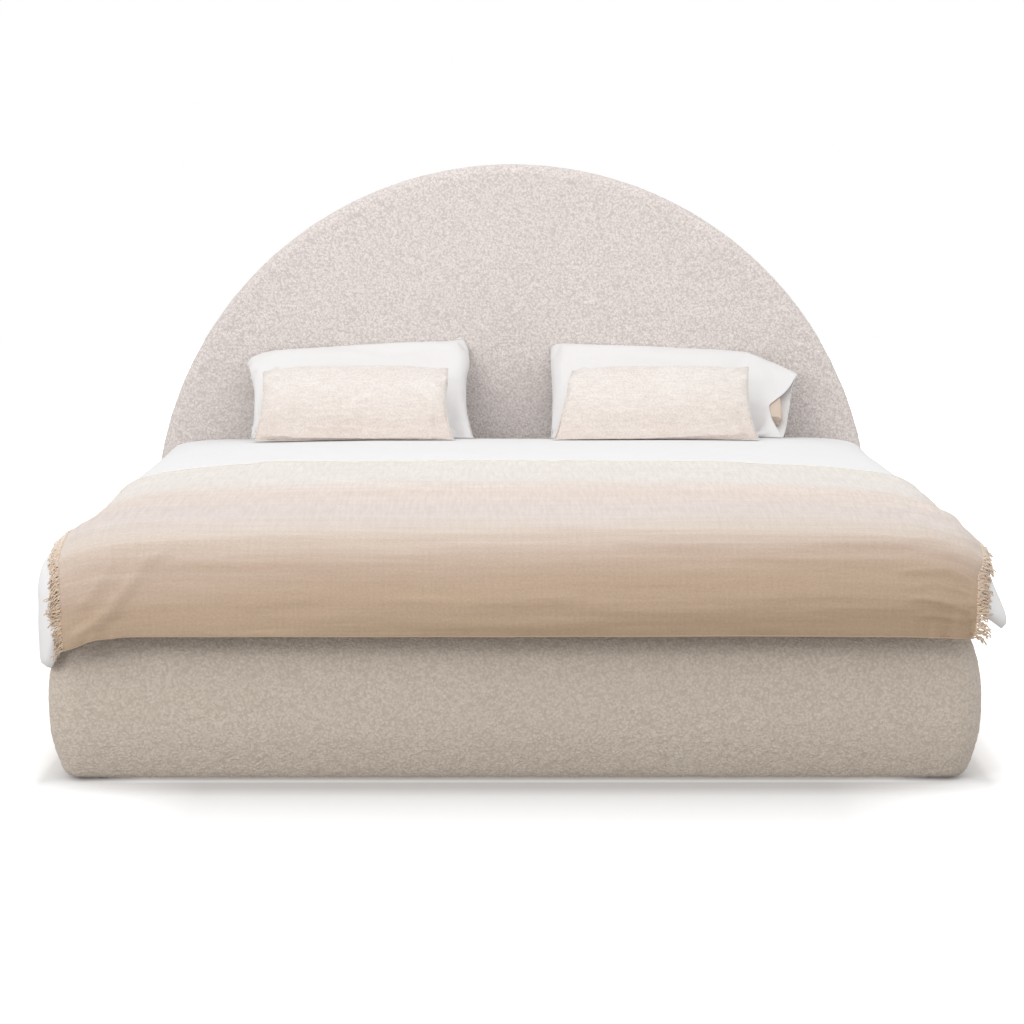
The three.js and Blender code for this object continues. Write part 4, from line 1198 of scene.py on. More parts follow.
# folds of the throw: points on the cloth (across, along), width and height
FOLDS = [
    ([(-1.022, 1.25), (-.958, 1.232), (-.898, 1.205), (-.855, 1.155), (-.800, 1.088), (-.74, 1.05)], .020, .011, .6),
    ([(-1.00, 1.19), (-.95, 1.17), (-.90, 1.12), (-.87, 1.07)], .016, .006, .6),
    ([(-1.03, 1.055), (-.912, 1.048), (-.823, 1.042), (-.717, 1.032), (-.56, 1.028), (-.40, 1.036)], .020, .0065, .35),
    ([(-.95, 1.128), (-.905, 1.125), (-.80, 1.110), (-.695, 1.102), (-.47, 1.100), (-.20, 1.108)], .022, .0050, .5),
    ([(-.62, 1.190), (-.40, 1.178), (-.10, 1.186), (.15, 1.176)], .016, .0030, .6),
    ([(.42, .545), (.535, .548), (.678, .565), (.828, .640), (.910, .685), (.963, .720), (1.03, .80)], .026, .0105, .30),
    ([(.70, .61), (.83, .69), (.90, .735), (.97, .80)], .018, .0050, .5),
    ([(.72, .72), (.83, .77), (.93, .86), (1.02, .95)], .020, .0055, .5),
    ([(.60, .86), (.76, .90), (.90, .955), (1.04, 1.02)], .022, .0050, .5),
    ([(.20, 1.040), (.38, 1.052), (.625, 1.050), (.843, 1.040), (.985, .985), (1.06, .95)], .020, .0070, .35),
    ([(.45, 1.085), (.66, 1.090), (.84, 1.082), (1.00, 1.045)], .016, .0040, .5),
    ([(.82, 1.118), (.903, 1.108), (.963, 1.102), (1.015, 1.105), (1.06, 1.115)], .009, .0060, .35),
    ([(.86, 1.150), (.94, 1.135), (1.01, 1.140), (1.06, 1.150)], .008, .0050, .4),
    ([(.85, 1.180), (.910, 1.172), (.960, 1.176), (1.06, 1.190)], .008, .0055, .4),
    ([(.88, 1.215), (.95, 1.205), (1.03, 1.215), (1.06, 1.222)], .008, .0045, .4),
]


def place_throw():
    G, flat = throw()
    G = settle(G, flat)
    k = 3
    P = upsample(G, k)
    uv = upsample(flat, k)
    d, g = duvet_d(P, duvet_swell)
    P = P + g * np.maximum(.0044 - d, 0)[..., None]
    n = grid_normals(P)
    if (n * g).sum() < 0:
        n = -n
    # folds, then the threads' own unevenness and small rolls of the cloth
    a, b = uv[..., 0], uv[..., 1]
    lift = np.zeros(a.shape)
    for line, wide, high, sharp in FOLDS:
        lift = np.maximum(lift, fold(uv, line, wide, high, sharp)) + .25 * np.minimum(lift, fold(uv, line, wide, high, sharp))
    front = sstep(.93, 1.06, b)
    q = np.stack([a / .42, b / .050, 0 * a], -1)
    slack = .0018 * perlin(q, 61) + .0011 * perlin(q * [2.2, 2.4, 1], 63)
    slack = slack + front * (.0030 * perlin(np.stack([a / .30, b / .034, 0 * a], -1), 65)
                             + .0016 * perlin(np.stack([a / .12, b / .018, 0 * a], -1), 67))
    ends = sstep(.78, 1.0, np.abs(a)) * sstep(.35, .8, b)
    slack = slack + ends * .0035 * perlin(np.stack([a / .20, (b - .25 * np.abs(a)) / .040, 0 * a + 2], -1), 69)
    P = P + n * (lift + slack + .0008)[..., None]
    d, g = duvet_d(P, duvet_swell)
    P = P + g * np.maximum(.0042 - d, 0)[..., None]
    n = grid_normals(P)
    if (n * g).sum() < 0:
        n = -n
    rows, cols = P.shape[:2]
    ob = make("throw_cloth", P.reshape(-1, 3), grid_faces(rows, cols))
    at = ob.data.attributes.new("cloth", "FLOAT_VECTOR", "POINT")
    at.data.foreach_set("vector", np.stack([uv[..., 0], uv[..., 1], 0 * uv[..., 0]], -1).astype(np.float32).ravel())
    assign(ob, M["throw"])
    return ob, P, uv, n


THROW, TP, TUV, TN = place_throw()

TROWS, TCOLS = TP.shape[:2]


def tube(path, r0, r1, sides, twist=0.0, square=1.0):
    """Vertices and quads of a tube along a path; radius from r0 to r1; closed ends."""
    path = np.asarray(path)
    n = len(path)
    t = np.gradient(path, axis=0)
    t /= np.linalg.norm(t, axis=1, keepdims=True) + 1e-12
    ref = np.array([0, 0, 1.0]) if abs(t[0, 2]) < .8 else np.array([0, 1.0, 0])
    V = []
    a = np.linspace(0, 2 * math.pi, sides, endpoint=False)
    for i in range(n):
        u = np.cross(t[i], ref); u /= np.linalg.norm(u) + 1e-12
        v = np.cross(t[i], u)
        r = r0 + (r1 - r0) * i / (n - 1)
        w = a + twist * i
        V.append(path[i] + r * (np.cos(w)[:, None] * u + np.sin(w)[:, None] * v * square))
    V = np.concatenate(V + [path[:1], path[-1:]])
    F = grid_faces(n, sides, close=True).tolist()
    F += [((j + 1) % sides, j, n * sides) for j in range(sides)]
    b = (n - 1) * sides
    F += [(b + j, b + (j + 1) % sides, n * sides + 1) for j in range(sides)]
    return V, F


def hems():
    """Rolled hems on the throw's two long edges."""
    out = []
    for name, row in (("throw_hem_foot", TROWS - 1), ("throw_hem_head", 0)):
        path = TP[row] + TN[row] * .0012
        d, g = duvet_d(path, duvet_swell)
        path = path + g * np.maximum(.0056 - d, 0)[:, None]
        V, F = tube(path, .0017, .0017, 8)
        ob = make(name, V, F)
        at = ob.data.attributes.new("cloth", "FLOAT_VECTOR", "POINT")
        uvr = np.repeat(TUV[row][:, :2], 8, 0)
        uvr = np.vstack([uvr, TUV[row][0, :2], TUV[row][-1, :2]])
        at.data.foreach_set("vector", np.column_stack([uvr, np.zeros(len(uvr))]).astype(np.float32).ravel())
        assign(ob, M["hem"])
        out.append(ob)
    return out


def fringes():
    """Twisted threads along the two short edges, each knot of two strands."""
    out = []
    for name, col, sgn, seed in (("throw_fringe_left", 0, -1, 29), ("throw_fringe_right", TCOLS - 1, 1, 31)):
        rng = np.random.RandomState(seed)
        line, inner, uvl = TP[:, col], TP[:, 4 if sgn < 0 else TCOLS - 5], TUV[:, col]
        d = np.r_[0, np.cumsum(np.linalg.norm(np.diff(line, axis=0), axis=1))]
        pos = np.cumsum(np.r_[.003, rng.uniform(.0032, .0054, 700)])
        pos = pos[pos < d[-1] - .002]
        m = len(pos)
        root = np.stack([np.interp(pos, d, line[:, c]) for c in range(3)], 1)
        back = np.stack([np.interp(pos, d, inner[:, c]) for c in range(3)], 1)
        bcoord = np.interp(pos, d, uvl[:, 1])
        v0 = root - back
        v0 /= np.linalg.norm(v0, axis=1, keepdims=True)
        down = line[np.minimum(np.searchsorted(d, pos) + 2, len(d) - 1)] - root
        down /= np.linalg.norm(down, axis=1, keepdims=True) + 1e-9
        # neighbouring knots share a way of lying
        lean = np.interp(pos, np.linspace(0, d[-1], 46), rng.normal(.10, .34, 46)) + rng.normal(0, .20, m)
        length = (rng.uniform(.030, .042, m) if sgn < 0 else rng.uniform(.031, .045, m)) * np.interp(pos, np.linspace(0, d[-1], 30), rng.uniform(.82, 1.08, 30))
        droop = rng.uniform(.16, .42, m) if sgn < 0 else rng.uniform(.10, .42, m)
        droop = droop * np.interp(bcoord, [0, .85, 1.02, 1.26], [2.2, 2.2, 1.2, 1.0] if sgn < 0 else [1.6, 1.6, 1.2, 1.0])
        V, F, A = [], [], []
        base = 0
        steps = 10
        for strand in range(2):
            p = root + rng.normal(0, .0007, (m, 3)) - v0 * .002
            v = v0.copy()
            ph = rng.uniform(0, 6.28, m)
            path = [p]
            for k in range(steps):
                w = (.04 + droop * (k / steps))[:, None] * .5
                v = v * (1 - w) + np.array([0, 0, -1.0]) * w + down * (lean * .16)[:, None] + rng.normal(0, .060, (m, 3))
                v /= np.linalg.norm(v, axis=1, keepdims=True)
                p = p + v * (length / steps)[:, None]
                dd, gg = duvet_d(p, duvet_swell)
                p = p + gg * np.maximum(.0036 - dd, 0)[:, None]
                side = np.cross(v, gg)
                tw = (side * np.cos(ph + k * 1.5)[:, None] + gg * np.sin(ph + k * 1.5)[:, None]) * .0014 * (1 if strand else -1)
                path.append(p + tw)
            path = np.stack(path, 1)
            r = rng.uniform(.0015, .0022, m)
            tone = rng.uniform(0, 1, m)
            for i in range(m):
                v_, f_ = tube(path[i], r[i], r[i] * .62, 5)
                V.append(v_)
                F += [tuple(int(c) + base for c in x) for x in f_]
                A.append(np.repeat([[0, bcoord[i], tone[i]]], len(v_), 0))
                base += len(v_)
        ob = make(name, np.vstack(V), F)
        at = ob.data.attributes.new("cloth", "FLOAT_VECTOR", "POINT")
        at.data.foreach_set("vector", np.vstack(A).astype(np.float32).ravel())
        assign(ob, M["fringe"])
        out.append(ob)
    return out


HEMS = hems()
FRINGES = fringes()

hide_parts("throw")
for o in [THROW, *HEMS, *FRINGES]:
    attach(o, "throw")


# ---------------------------------------------------------------- pillows and cushions
def lean_frame(cx, s, z, lean, roll=0.0, turn=0.0):
    """Centre and unit axes (right, up the face, out of the face) of a cushion that leans back."""
    L = math.radians(lean)
    X = np.array([1.0, 0, 0]); V = np.array([0, math.sin(L), math.cos(L)]); W = np.array([0, -math.cos(L), math.sin(L)])
    r = math.radians(roll)
    X, V = X * math.cos(r) + V * math.sin(r), -X * math.sin(r) + V * math.cos(r)
    t = math.radians(turn)
    R = np.array([[math.cos(t), -math.sin(t), 0], [math.sin(t), math.cos(t), 0], [0, 0, 1.0]])
    return np.array([cx, s - S0, z]), R @ X, R @ V, R @ W


def cut(U, V, w, h, taper, corner, left_only=False):
    """The flat pattern: narrower towards the top, corners rounded off."""
    nu, nv = U / (w / 2), V / (h / 2)
    on = (U < 0) if left_only else np.ones_like(U, bool)
    kx = 1 - taper * (nv * .5 + .5) - np.where(on, corner / (w / 2) * np.abs(nv) ** 6, 0)
    ky = 1 - np.where(on, corner / (h / 2) * np.abs(np.clip(nu, -1, 1)) ** 10, 0)
    return U * kx, V * ky


def stuffed(w, h, thick, step, fr, fill=.60, seed=0, open_right=0.0, behind=None, steps=60, slack=1.0, taper=0.0, corner=0.0):
    """Two sheets sewn round the edge and filled. Returns front and back grids in the row frame."""
    C, X, V, W = fr
    W0 = w + open_right
    nu, nv = int(round(W0 / step)) + 1, int(round(h / step)) + 1
    u = np.linspace(-w / 2, w / 2 + open_right, nu)
    v = np.linspace(-h / 2, h / 2, nv)
    U, VV = np.meshgrid(u, v)
    cu, cv = cut(U, VV, w, h, taper, corner, bool(open_right))
    flat = np.stack([cu, cv, 0 * U], -1)
    n = nu * nv
    idf = np.arange(n).reshape(nv, nu)
    idb = idf.copy()
    free = np.zeros_like(idf, bool)
    free[1:-1, 1:-1] = True
    if open_right:
        free[1:-1, -1] = True
    idb[free] = n + np.arange(free.sum())
    nt_ = n + free.sum()
    P = np.zeros((nt_, 3))
    rim = np.minimum(np.minimum(U + w / 2, (w / 2 + open_right) - U if not open_right else 9 + 0 * U),
                     np.minimum(VV + h / 2, h / 2 - VV))
    body = 1 - sstep(w / 2 - .02, w / 2 + .03, U) if open_right else np.ones_like(U)
    z0 = thick * .30 * np.sqrt(np.clip(rim / .12, 0, 1)) * (.15 + .85 * body)
    for idx, sg in ((idb, -1), (idf, 1)):
        P[idx.ravel()] = (C + flat[..., 0:1] * X + flat[..., 1:2] * V + (sg * z0)[..., None] * W).reshape(-1, 3)
    P[idf[~free]] = (C + flat[..., 0:1] * X + flat[..., 1:2] * V)[~free]
    E, R_, S, Cc = [], [], [], []
    for idx in (idf, idb):
        e, r, s_, c_ = grid_edges(nv, nu, flat, idx, bend=.06, shear=.45, co=.35)
        E += e; R_ += r; S += s_; Cc += c_
    E = np.vstack(E); R_ = np.concatenate(R_) * slack; S = np.concatenate(S); Cc = np.concatenate(Cc)
    key = np.sort(E, 1)
    _, first = np.unique(key[:, 0] * 100000 + key[:, 1], return_index=True)
    first = first[E[first, 0] != E[first, 1]]
    E, R_, S, Cc = E[first], R_[first], S[first], Cc[first]
    groups = colour_edges(E, R_, S, Cc, nt_)
    tri = []
    for idx, flip in ((idf, False), (idb, True)):
        a, b, c, d = idx[:-1, :-1], idx[:-1, 1:], idx[1:, 1:], idx[1:, :-1]
        if open_right:
            ok = (U[:-1, :-1] < w / 2)
            a, b, c, d = a[ok], b[ok], c[ok], d[ok]
        t1 = np.stack([a.ravel(), b.ravel(), c.ravel()], 1)
        t2 = np.stack([a.ravel(), c.ravel(), d.ravel()], 1)
        t_ = np.vstack([t1, t2])
        tri.append(t_[:, ::-1] if flip else t_)
    tri = np.vstack(tri)
    # the enclosed volume the filling presses out to; the opened end is left out of its count
    target = fill * w * h * thick
    yb = BASE_LEN - S0 - .0085
    lim = None
    half = thick / 2

    def collide(Q, P0):
        d, nn = duvet_d(Q, duvet_swell)
        pen = .0035 - d
        hit = pen > 0
        Q = Q + nn * np.where(hit, pen, 0)[:, None]
        Q[:, 1] = np.minimum(Q[:, 1], yb)
        loc = Q - C
        lw = loc @ W
        # the filling's own limit
        over = np.abs(lw) - half
        Q = Q - (np.where(over > 0, over, 0) * np.sign(lw))[:, None] * W
        if behind is not None:
            Q = behind(Q)
        return Q
    st = steps
    inv = np.ones(nt_)
    out = solve(P, groups, inv, st, 1 / 60, 0.0, 8, pressure=900.0, tris=tri, collide=collide, every=4, damp=.90, volume=target)
    # drift is taken out, so the filled form keeps its place
    cen = out[idf].reshape(-1, 3).mean(0) * .5 + out[idb].reshape(-1, 3).mean(0) * .5
    want = C + X * (open_right / 2)
    shift = want - cen
    shift -= W * (shift @ W)
    out = out + shift * .8
    return out[idf], out[idb], flat, free


def close_bag(F_, B_, flat, free, k=2):
    """The two sheets and their flat pattern, doubled in fineness."""
    f = upsample(F_, k)
    b = upsample(B_, k)
    uv = upsample(flat, k)
    return f, b, uv


def bag_mesh(name, f, b, mat, open_right=False, uv=None):
    nv, nu = f.shape[:2]
    n = nv * nu
    idf = np.arange(n).reshape(nv, nu)
    idb = idf + n
    shared = np.zeros((nv, nu), bool)
    shared[0] = shared[-1] = True
    shared[:, 0] = True
    if not open_right:
        shared[:, -1] = True
    idb = np.where(shared, idf, idb)
    A = f.reshape(-1, 3).copy()
    bb = b.reshape(-1, 3)
    A[shared.ravel()] = (A[shared.ravel()] + bb[shared.ravel()]) / 2
    V = np.vstack([A, bb])
    used = np.zeros(2 * n, bool)
    used[idf.ravel()] = True; used[idb.ravel()] = True
    remap = -np.ones(2 * n, int); remap[used] = np.arange(used.sum())
    Fq = []
    for idx, flip in ((idf, False), (idb, True)):
        q = np.stack([idx[:-1, :-1], idx[:-1, 1:], idx[1:, 1:], idx[1:, :-1]], -1).reshape(-1, 4)
        if flip:
            q = q[:, ::-1]
        Fq.append(remap[q])
    ob = make(name, V[used], np.vstack(Fq))
    if uv is not None:
        at = ob.data.attributes.new("cloth", "FLOAT_VECTOR", "POINT")
        at.data.foreach_set("vector", np.vstack([uv.reshape(-1, 3)] * 2)[used].astype(np.float32).ravel())
    assign(ob, mat)
    return ob


def skin_detail(f, b, uv, w, h, seed, amp=.0014):
    """Puckers that run in from the seam, and soft dents in the filling."""
    e = np.minimum(np.minimum(uv[..., 0] + w / 2, w / 2 - uv[..., 0]), np.minimum(uv[..., 1] + h / 2, h / 2 - uv[..., 1]))
    along = np.where(np.abs(uv[..., 0]) / w > np.abs(uv[..., 1]) / h, uv[..., 1], uv[..., 0])
    out = []
    for g, sd in ((f, 1), (b, 2)):
        n = grid_normals(g)
        if sd == 2:
            n = -n
        pk = perlin(np.stack([along / .020, e / .10, 0 * e + seed + sd], -1), 71) * sstep(0, .012, e) * sstep(.085, .02, e)
        dent = perlin(np.stack([uv[..., 0] / .13, uv[..., 1] / .10, 0 * e + seed * 2.2 + sd], -1), 73) * sstep(0, .06, e)
        out.append(g + n * ((amp * 1.5 * pk + .0022 * dent) * np.sign(1))[..., None])
    return out


def seam_line(name, f, mat, r=.0011, open_right=False, uv=None):
    """The sewn edge: a fine ridge of folded cloth round the case."""
    path = np.vstack([f[0], f[1:, -1], f[-1, ::-1][1:], f[::-1, 0][1:-1]]) if not open_right else np.vstack([f[0, ::-1], f[1:, 0], f[-1, 1:]])
    path = resample(path, .006)
    V, F = tube(path, r, r, 6)
    ob = make(name, V, F)
    if uv is not None:
        at = ob.data.attributes.new("cloth", "FLOAT_VECTOR", "POINT")
        at.data.foreach_set("vector", np.tile(np.array([0, uv, 0], np.float32), len(V)))
    assign(ob, mat)
    return ob


def seam_path(pts, n):
    """n points, evenly spaced, along a seam given as (right, up) pairs on the cushion's own plane."""
    p = np.asarray(pts, float)
    d = np.r_[0, np.cumsum(np.hypot(*np.diff(p, axis=0).T))]
    q = np.linspace(0, d[-1], n)
    out = np.stack([pchip(d, p[:, 0], q), pchip(d, p[:, 1], q)], 1)
    return out


EASE = 2.2


def lay_seams(g, fr, seams, last=None):
    """Moves the seam onto its resting line and carries the rest of the sheet along."""
    C, X, V, W = fr
    g = g.copy()
    e = g if last is None else g[:, :last + 1]
    nv, nu = e.shape[:2]

    def place(pts, n):
        q = seam_path(pts, n)
        return C + q[:, :1] * X + q[:, 1:2] * V
    db, dt, dl = place(seams["bottom"], nu) - e[0], place(seams["top"], nu) - e[-1], place(seams["left"], nv) - e[:, 0]
    s = np.linspace(0, 1, nv)[:, None, None]; t = np.linspace(0, 1, nu)[None, :, None]
    sb, st, tl, tr = (1 - s) ** EASE, s ** EASE, (1 - t) ** EASE, t ** EASE
    dr = place(seams["right"], nv) - e[:, -1] if "right" in seams else db[-1] * sb[:, 0] + dt[-1] * st[:, 0]
    move = (sb * db[None] + st * dt[None] + tl * dl[:, None] + tr * dr[:, None]
            - (sb * tl * dl[0] + sb * tr * dr[0] + st * tl * dl[-1] + st * tr * dr[-1]))
    e += move
    return g


def slim_top(g, fr, seams, slope=.8):
    """The filling thins towards the top seam, so that the seam itself is the upper edge."""
    C, X, V, W = fr

    def smin(a, b, k):
        m = np.minimum(a, b)
        return m - k * np.log(np.exp(-(a - m) / k) + np.exp(-(b - m) / k))
    q = g - C
    u, v, w = q @ X, q @ V, q @ W
    top = np.array(seams["top"])
    vt = np.interp(u, top[:, 0], top[:, 1])
    w = smin(w, .004 + slope * np.maximum(vt - v, 0), .006)
    v = smin(v, vt, .002)
    return C + u[..., None] * X + v[..., None] * V + w[..., None] * W


def off_duvet(q, gap=.0035):
    """Lift the points that lie under the duvet's top onto it."""
    q = np.array(q, float, order="C")
    for c in q.reshape(-1, 3):
        hit = DUVET_TOP.ray_cast(Vector((c[0], c[1], c[2] + .12)), Vector((0, 0, -1)), .30)[0]
        if hit is not None:
            c[2] = max(c[2], hit.z + gap)
    q[..., 1] = np.minimum(q[..., 1], BASE_LEN - S0 - .0085)
    return q


# where each seam rests: (right, up) in metres on the piece's own plane
SEAMS = {
    "pillow_left": {
        "bottom": [(-.3064, -.1849), (-.1687, -.1965), (0, -.2076), (.1685, -.2208), (.3201, -.2310)],
        "top": [(-.3200, .1626), (-.3057, .1826), (-.2782, .1959), (-.2405, .2069), (-.0320, .2177), (.1076, .2234), (.2500, .2225), (.2790, .2265), (.3003, .2459)],
        "left": [(-.3064, -.1849), (-.2975, -.0748), (-.2968, .0019), (-.3078, .1003), (-.3200, .1626)],
        "right": [(.3201, -.2310), (.3103, -.1509), (.3040, -.0867), (.3089, .0405), (.3220, .1279), (.3202, .1796), (.3120, .2250), (.3003, .2459)]},
    "pillow_right": {
        "bottom": [(-.2888, -.2353), (-.1499, -.2224), (-.0095, -.2073), (.1311, -.1922), (.2438, -.1805)],
        "top": [(-.3034, .2354), (-.1591, .2338), (-.0129, .2323), (.1330, .2265), (.2554, .2197)],
        "left": [(-.2888, -.2353), (-.2867, -.1163), (-.2890, -.0032), (-.2970, .1120), (-.3034, .2354)]},
    "cushion_left": {
        "bottom": [(-.2797, -.1298), (-.2479, -.1340), (-.1469, -.1352), (-.0240, -.1358), (.1082, -.1405), (.1927, -.1452), (.2755, -.1513)],
        "top": [(-.2670, .1363), (-.2139, .1468), (-.1068, .1482), (.0061, .1482), (.1191, .1474), (.2179, .1467), (.2546, .1486)],
        "left": [(-.2797, -.1298), (-.2695, -.0737), (-.2636, .0047), (-.2629, .0841), (-.2670, .1363)],
        "right": [(.2755, -.1513), (.2572, -.0776), (.2498, .0009), (.2516, .0803), (.2546, .1486)]},
    "cushion_right": {
        "bottom": [(-.2903, -.1505), (-.2061, -.1462), (-.1370, -.1420), (-.0485, -.1378), (.0511, -.1350), (.1644, -.1340), (.2414, -.1345), (.2814, -.1341)],
        "top": [(-.2329, .1404), (-.1819, .1464), (-.0972, .1487), (.0158, .1499), (.1288, .1502), (.2279, .1540), (.2663, .1598)],
        "left": [(-.2903, -.1505), (-.2716, -.0738), (-.2569, .0047), (-.2420, .0841), (-.2329, .1404)],
        "right": [(.2814, -.1341), (.2665, -.0721), (.2596, .0063), (.2610, .0857), (.2663, .1598)]},
}
# the right-hand case's open end: share of the height, then (right, up, out) in metres
OPEN_FRONT = np.array([(0, .3626, -.1706, 0), (.10, .3479, -.1442, .012), (.22, .3322, -.1134, .026), (.40, .3251, -.0677, .034),
                       (.52, .3438, -.0323, .028), (.66, .3685, .0133, .016), (.78, .3872, .0540, .008), (1, .4122, .1263, 0)])
OPEN_BACK = np.array([(0, .3626, -.1706, 0), (.20, .3742, -.1078, -.012), (.40, .3818, -.0462, -.018), (.60, .3884, .0085, -.018),
                      (.78, .3943, .0630, -.010), (1, .4122, .1263, 0)])

FR_PL = lean_frame(-.440, 1.982, .712, 55, 3.0)
FR_PR = lean_frame(.405, 1.978, .702, 56, -2.6)
FR_CL = lean_frame(-.436, 1.757, .697, 50, .4)
FR_CR = lean_frame(.400, 1.755, .695, 50, -.2)


def pillow_left():
    w, h = .650, .458
    F_, B_, flat, free = stuffed(w, h, .142, .0125, FR_PL, fill=.56, seed=1, corner=.010)
    f, b, uv = close_bag(F_, B_, flat, free)
    C, X, V, W = FR_PL
    f, b = (off_duvet(slim_top(lay_seams(g, FR_PL, SEAMS["pillow_left"]), FR_PL, SEAMS["pillow_left"])) for g in (f, b))
    # the top right corner is pinched: cloth gathers under the ear
    r2 = (uv[..., 0] - w / 2 + .040) ** 2 / .015 ** 2 + (uv[..., 1] - h / 2 + .030) ** 2 / .026 ** 2
    f = f - (.011 * np.exp(-r2))[..., None] * W
    r2 = (uv[..., 0] - w / 2 + .012) ** 2 / .018 ** 2 + (uv[..., 1] - h / 2 + .010) ** 2 / .018 ** 2
    f = f + (.007 * np.exp(-r2))[..., None] * W
    f, b = skin_detail(f, b, uv, w, h, 1)
    ob = bag_mesh("pillow_left_case", f, b, M["pillow"])
    sm = seam_line("pillow_left_seam", (f + b) / 2, M["pillow"])
    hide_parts("pillow_left")
    for o in (ob, sm):
        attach(o, "pillow_left")
    return f, uv


def pillow_right():
    w, h, op = .585, .455, .125
    C, X, V, W = FR_PR
    fr0 = FR_PR
    fr = (C - X * .006 + W * .010 + V * .010, X, V, W)
    F_, B_, flat, free = stuffed(w, h, .142, .0125, fr, fill=.56, seed=2, open_right=op, corner=.008)
    f, b, uv = close_bag(F_, B_, flat, free)
    u, v = uv[..., 0], uv[..., 1]
    j0 = int(np.argmin(np.abs(u[0] - (w / 2 - .004))))
    f, b = (off_duvet(slim_top(lay_seams(g, fr0, SEAMS["pillow_right"], j0), fr0, SEAMS["pillow_right"])) for g in (f, b))
    fd, bd = skin_detail(f, b, uv, w, h, 2)
    e = sstep(w / 2 - .010, w / 2 - .060, u)[..., None]
    f, b = f * (1 - e) + fd * e, b * (1 - e) + bd * e
    # the case's open end runs on past the filling: the front edge is drawn back over it, the back edge stands straight
    nv = f.shape[0]
    rows = np.linspace(0, 1, nv)
    ring0 = np.concatenate([f[:, j0], b[::-1, j0][1:-1]])
    k = np.arange(1, f.shape[1] - j0) / (f.shape[1] - 1 - j0)
    for g, edge, sd in ((f, OPEN_FRONT, 3), (b, OPEN_BACK, 9)):
        e3 = np.stack([pchip(edge[:, 0], edge[:, c], rows) for c in (1, 2, 3)], 1)
        end = C + e3[:, :1] * X + e3[:, 1:2] * V + e3[:, 2:] * W
        p0 = g[:, j0].copy()
        lp = p0 - C
        a0 = np.stack([lp @ X, lp @ V, lp @ W], 1)
        q = np.zeros((nv, len(k), 3))
        q[..., 0] = a0[:, None, 0] + (e3[:, None, 0] - a0[:, None, 0]) * k
        q[..., 1] = a0[:, None, 1] + (e3[:, None, 1] - a0[:, None, 1]) * k ** 1.35
        q[..., 2] = a0[:, None, 2] + (e3[:, None, 2] - a0[:, None, 2]) * (k * k * (3 - 2 * k) * .6 + k * .4)
        crumple = perlin(np.stack([q[..., 0] / .040, q[..., 1] / .055, 0 * q[..., 0] + sd], -1), 81)
        belly = np.clip(1 - (2 * rows - 1) ** 2, 0, 1)[:, None] ** .5 * sstep(0, .35, k)[None] * sstep(1.15, .7, k)[None]
        q[..., 2] += .0065 * crumple * belly
        g[:, j0 + 1:] = C + q[..., :1] * X + q[..., 1:2] * V + q[..., 2:] * W
    f, b = off_duvet(f), off_duvet(b)
    ob = bag_mesh("pillow_right_case", f, b, M["pillow"], open_right=True)
    sm = seam_line("pillow_right_seam", (f + b) / 2, M["pillow"], open_right=True)
    # sewn hems of the open end
    hm = []
    for tag, g in (("front", f), ("back", b)):
        V_, F_q = tube(resample(g[:, -1], .006), .0013, .0013, 6)
        o = make("pillow_right_hem_" + tag, V_, F_q)
        assign(o, M["pillow"])
        hm.append(o)
    # the end of the filled pillow inside the case
    cen = ring0.mean(0)
    lr = ring0 - cen
    lx, lv, lw = lr @ X, lr @ V, lr @ W
    body = []
    for q in np.linspace(0, 1, 20):
        x_ = -.045 + q * .147
        o = max(x_, 0) / .103
        kv, kw = .93 * math.sqrt(max(1 - .80 * o ** 2.2, 0)), .95 * max(1 - o ** 2.6, 0) ** .5 if q < 1 else .03
        kv = kv if q < 1 else .30
        ring = cen + (lx * kv + x_)[:, None] * X + (lv * kv - .062 * o)[:, None] * V + (lw * kw * 1.6 + .012 * o)[:, None] * W
        wob = .0018 * perlin(np.stack([np.arange(len(ring0)) / 9, np.full(len(ring0), q * 3), np.zeros(len(ring0))], -1), 83)
        body.append(ring + (wob * kw)[:, None] * W)
    body = off_duvet(np.array(body), .016)
    loc = np.stack([(body - C) @ X, (body - C) @ V, (body - C) @ W], -1)
    low = np.interp(loc[..., 0], (f[0] - C) @ X, (f[0] - C) @ V) + .018
    low = np.maximum(low, -.104 - .066 * sstep(.335, .255, loc[..., 0]))
    loc[..., 1] = (loc[..., 1] + low + np.hypot(loc[..., 1] - low, .006)) / 2
    lim = []
    for g in (f, b):
        gl = g[:, max(j0 - 40, 0):].reshape(-1, 3) - C
        guv, gw = np.stack([gl @ X, gl @ V], 1), gl @ W
        d2 = ((loc.reshape(-1, 3)[:, None, :2] - guv[None]) ** 2).sum(-1)
        lim.append(gw[d2.argmin(1)].reshape(loc.shape[:2]))
    hi, lo = lim[0] - .0045, lim[1] + .0045
    mid = (hi + lo) / 2
    w_ = np.clip(loc[..., 2], np.minimum(lo, mid), np.maximum(hi, mid))
    body = C + loc[..., :1] * X + loc[..., 1:2] * V + w_[..., None] * W
    nb_, nr_ = body.shape[:2]
    Fi = grid_faces(nb_, nr_, close=True).tolist()
    Vi = np.vstack([body.reshape(-1, 3), body[0].mean(0)[None], body[-1].mean(0)[None]])
    Fi += [((j + 1) % nr_, j, nb_ * nr_) for j in range(nr_)]
    bb = (nb_ - 1) * nr_
    Fi += [(bb + j, bb + (j + 1) % nr_, nb_ * nr_ + 1) for j in range(nr_)]
    # painted shade: the insert's beige stands in for the shade inside the case's open end as well as its own ticking
    ins = make("pillow_right_insert", Vi, Fi)
    assign(ins, M["insert"])
    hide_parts("pillow_right")
    for o in (ob, sm, ins, *hm):
        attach(o, "pillow_right")
    return f, uv


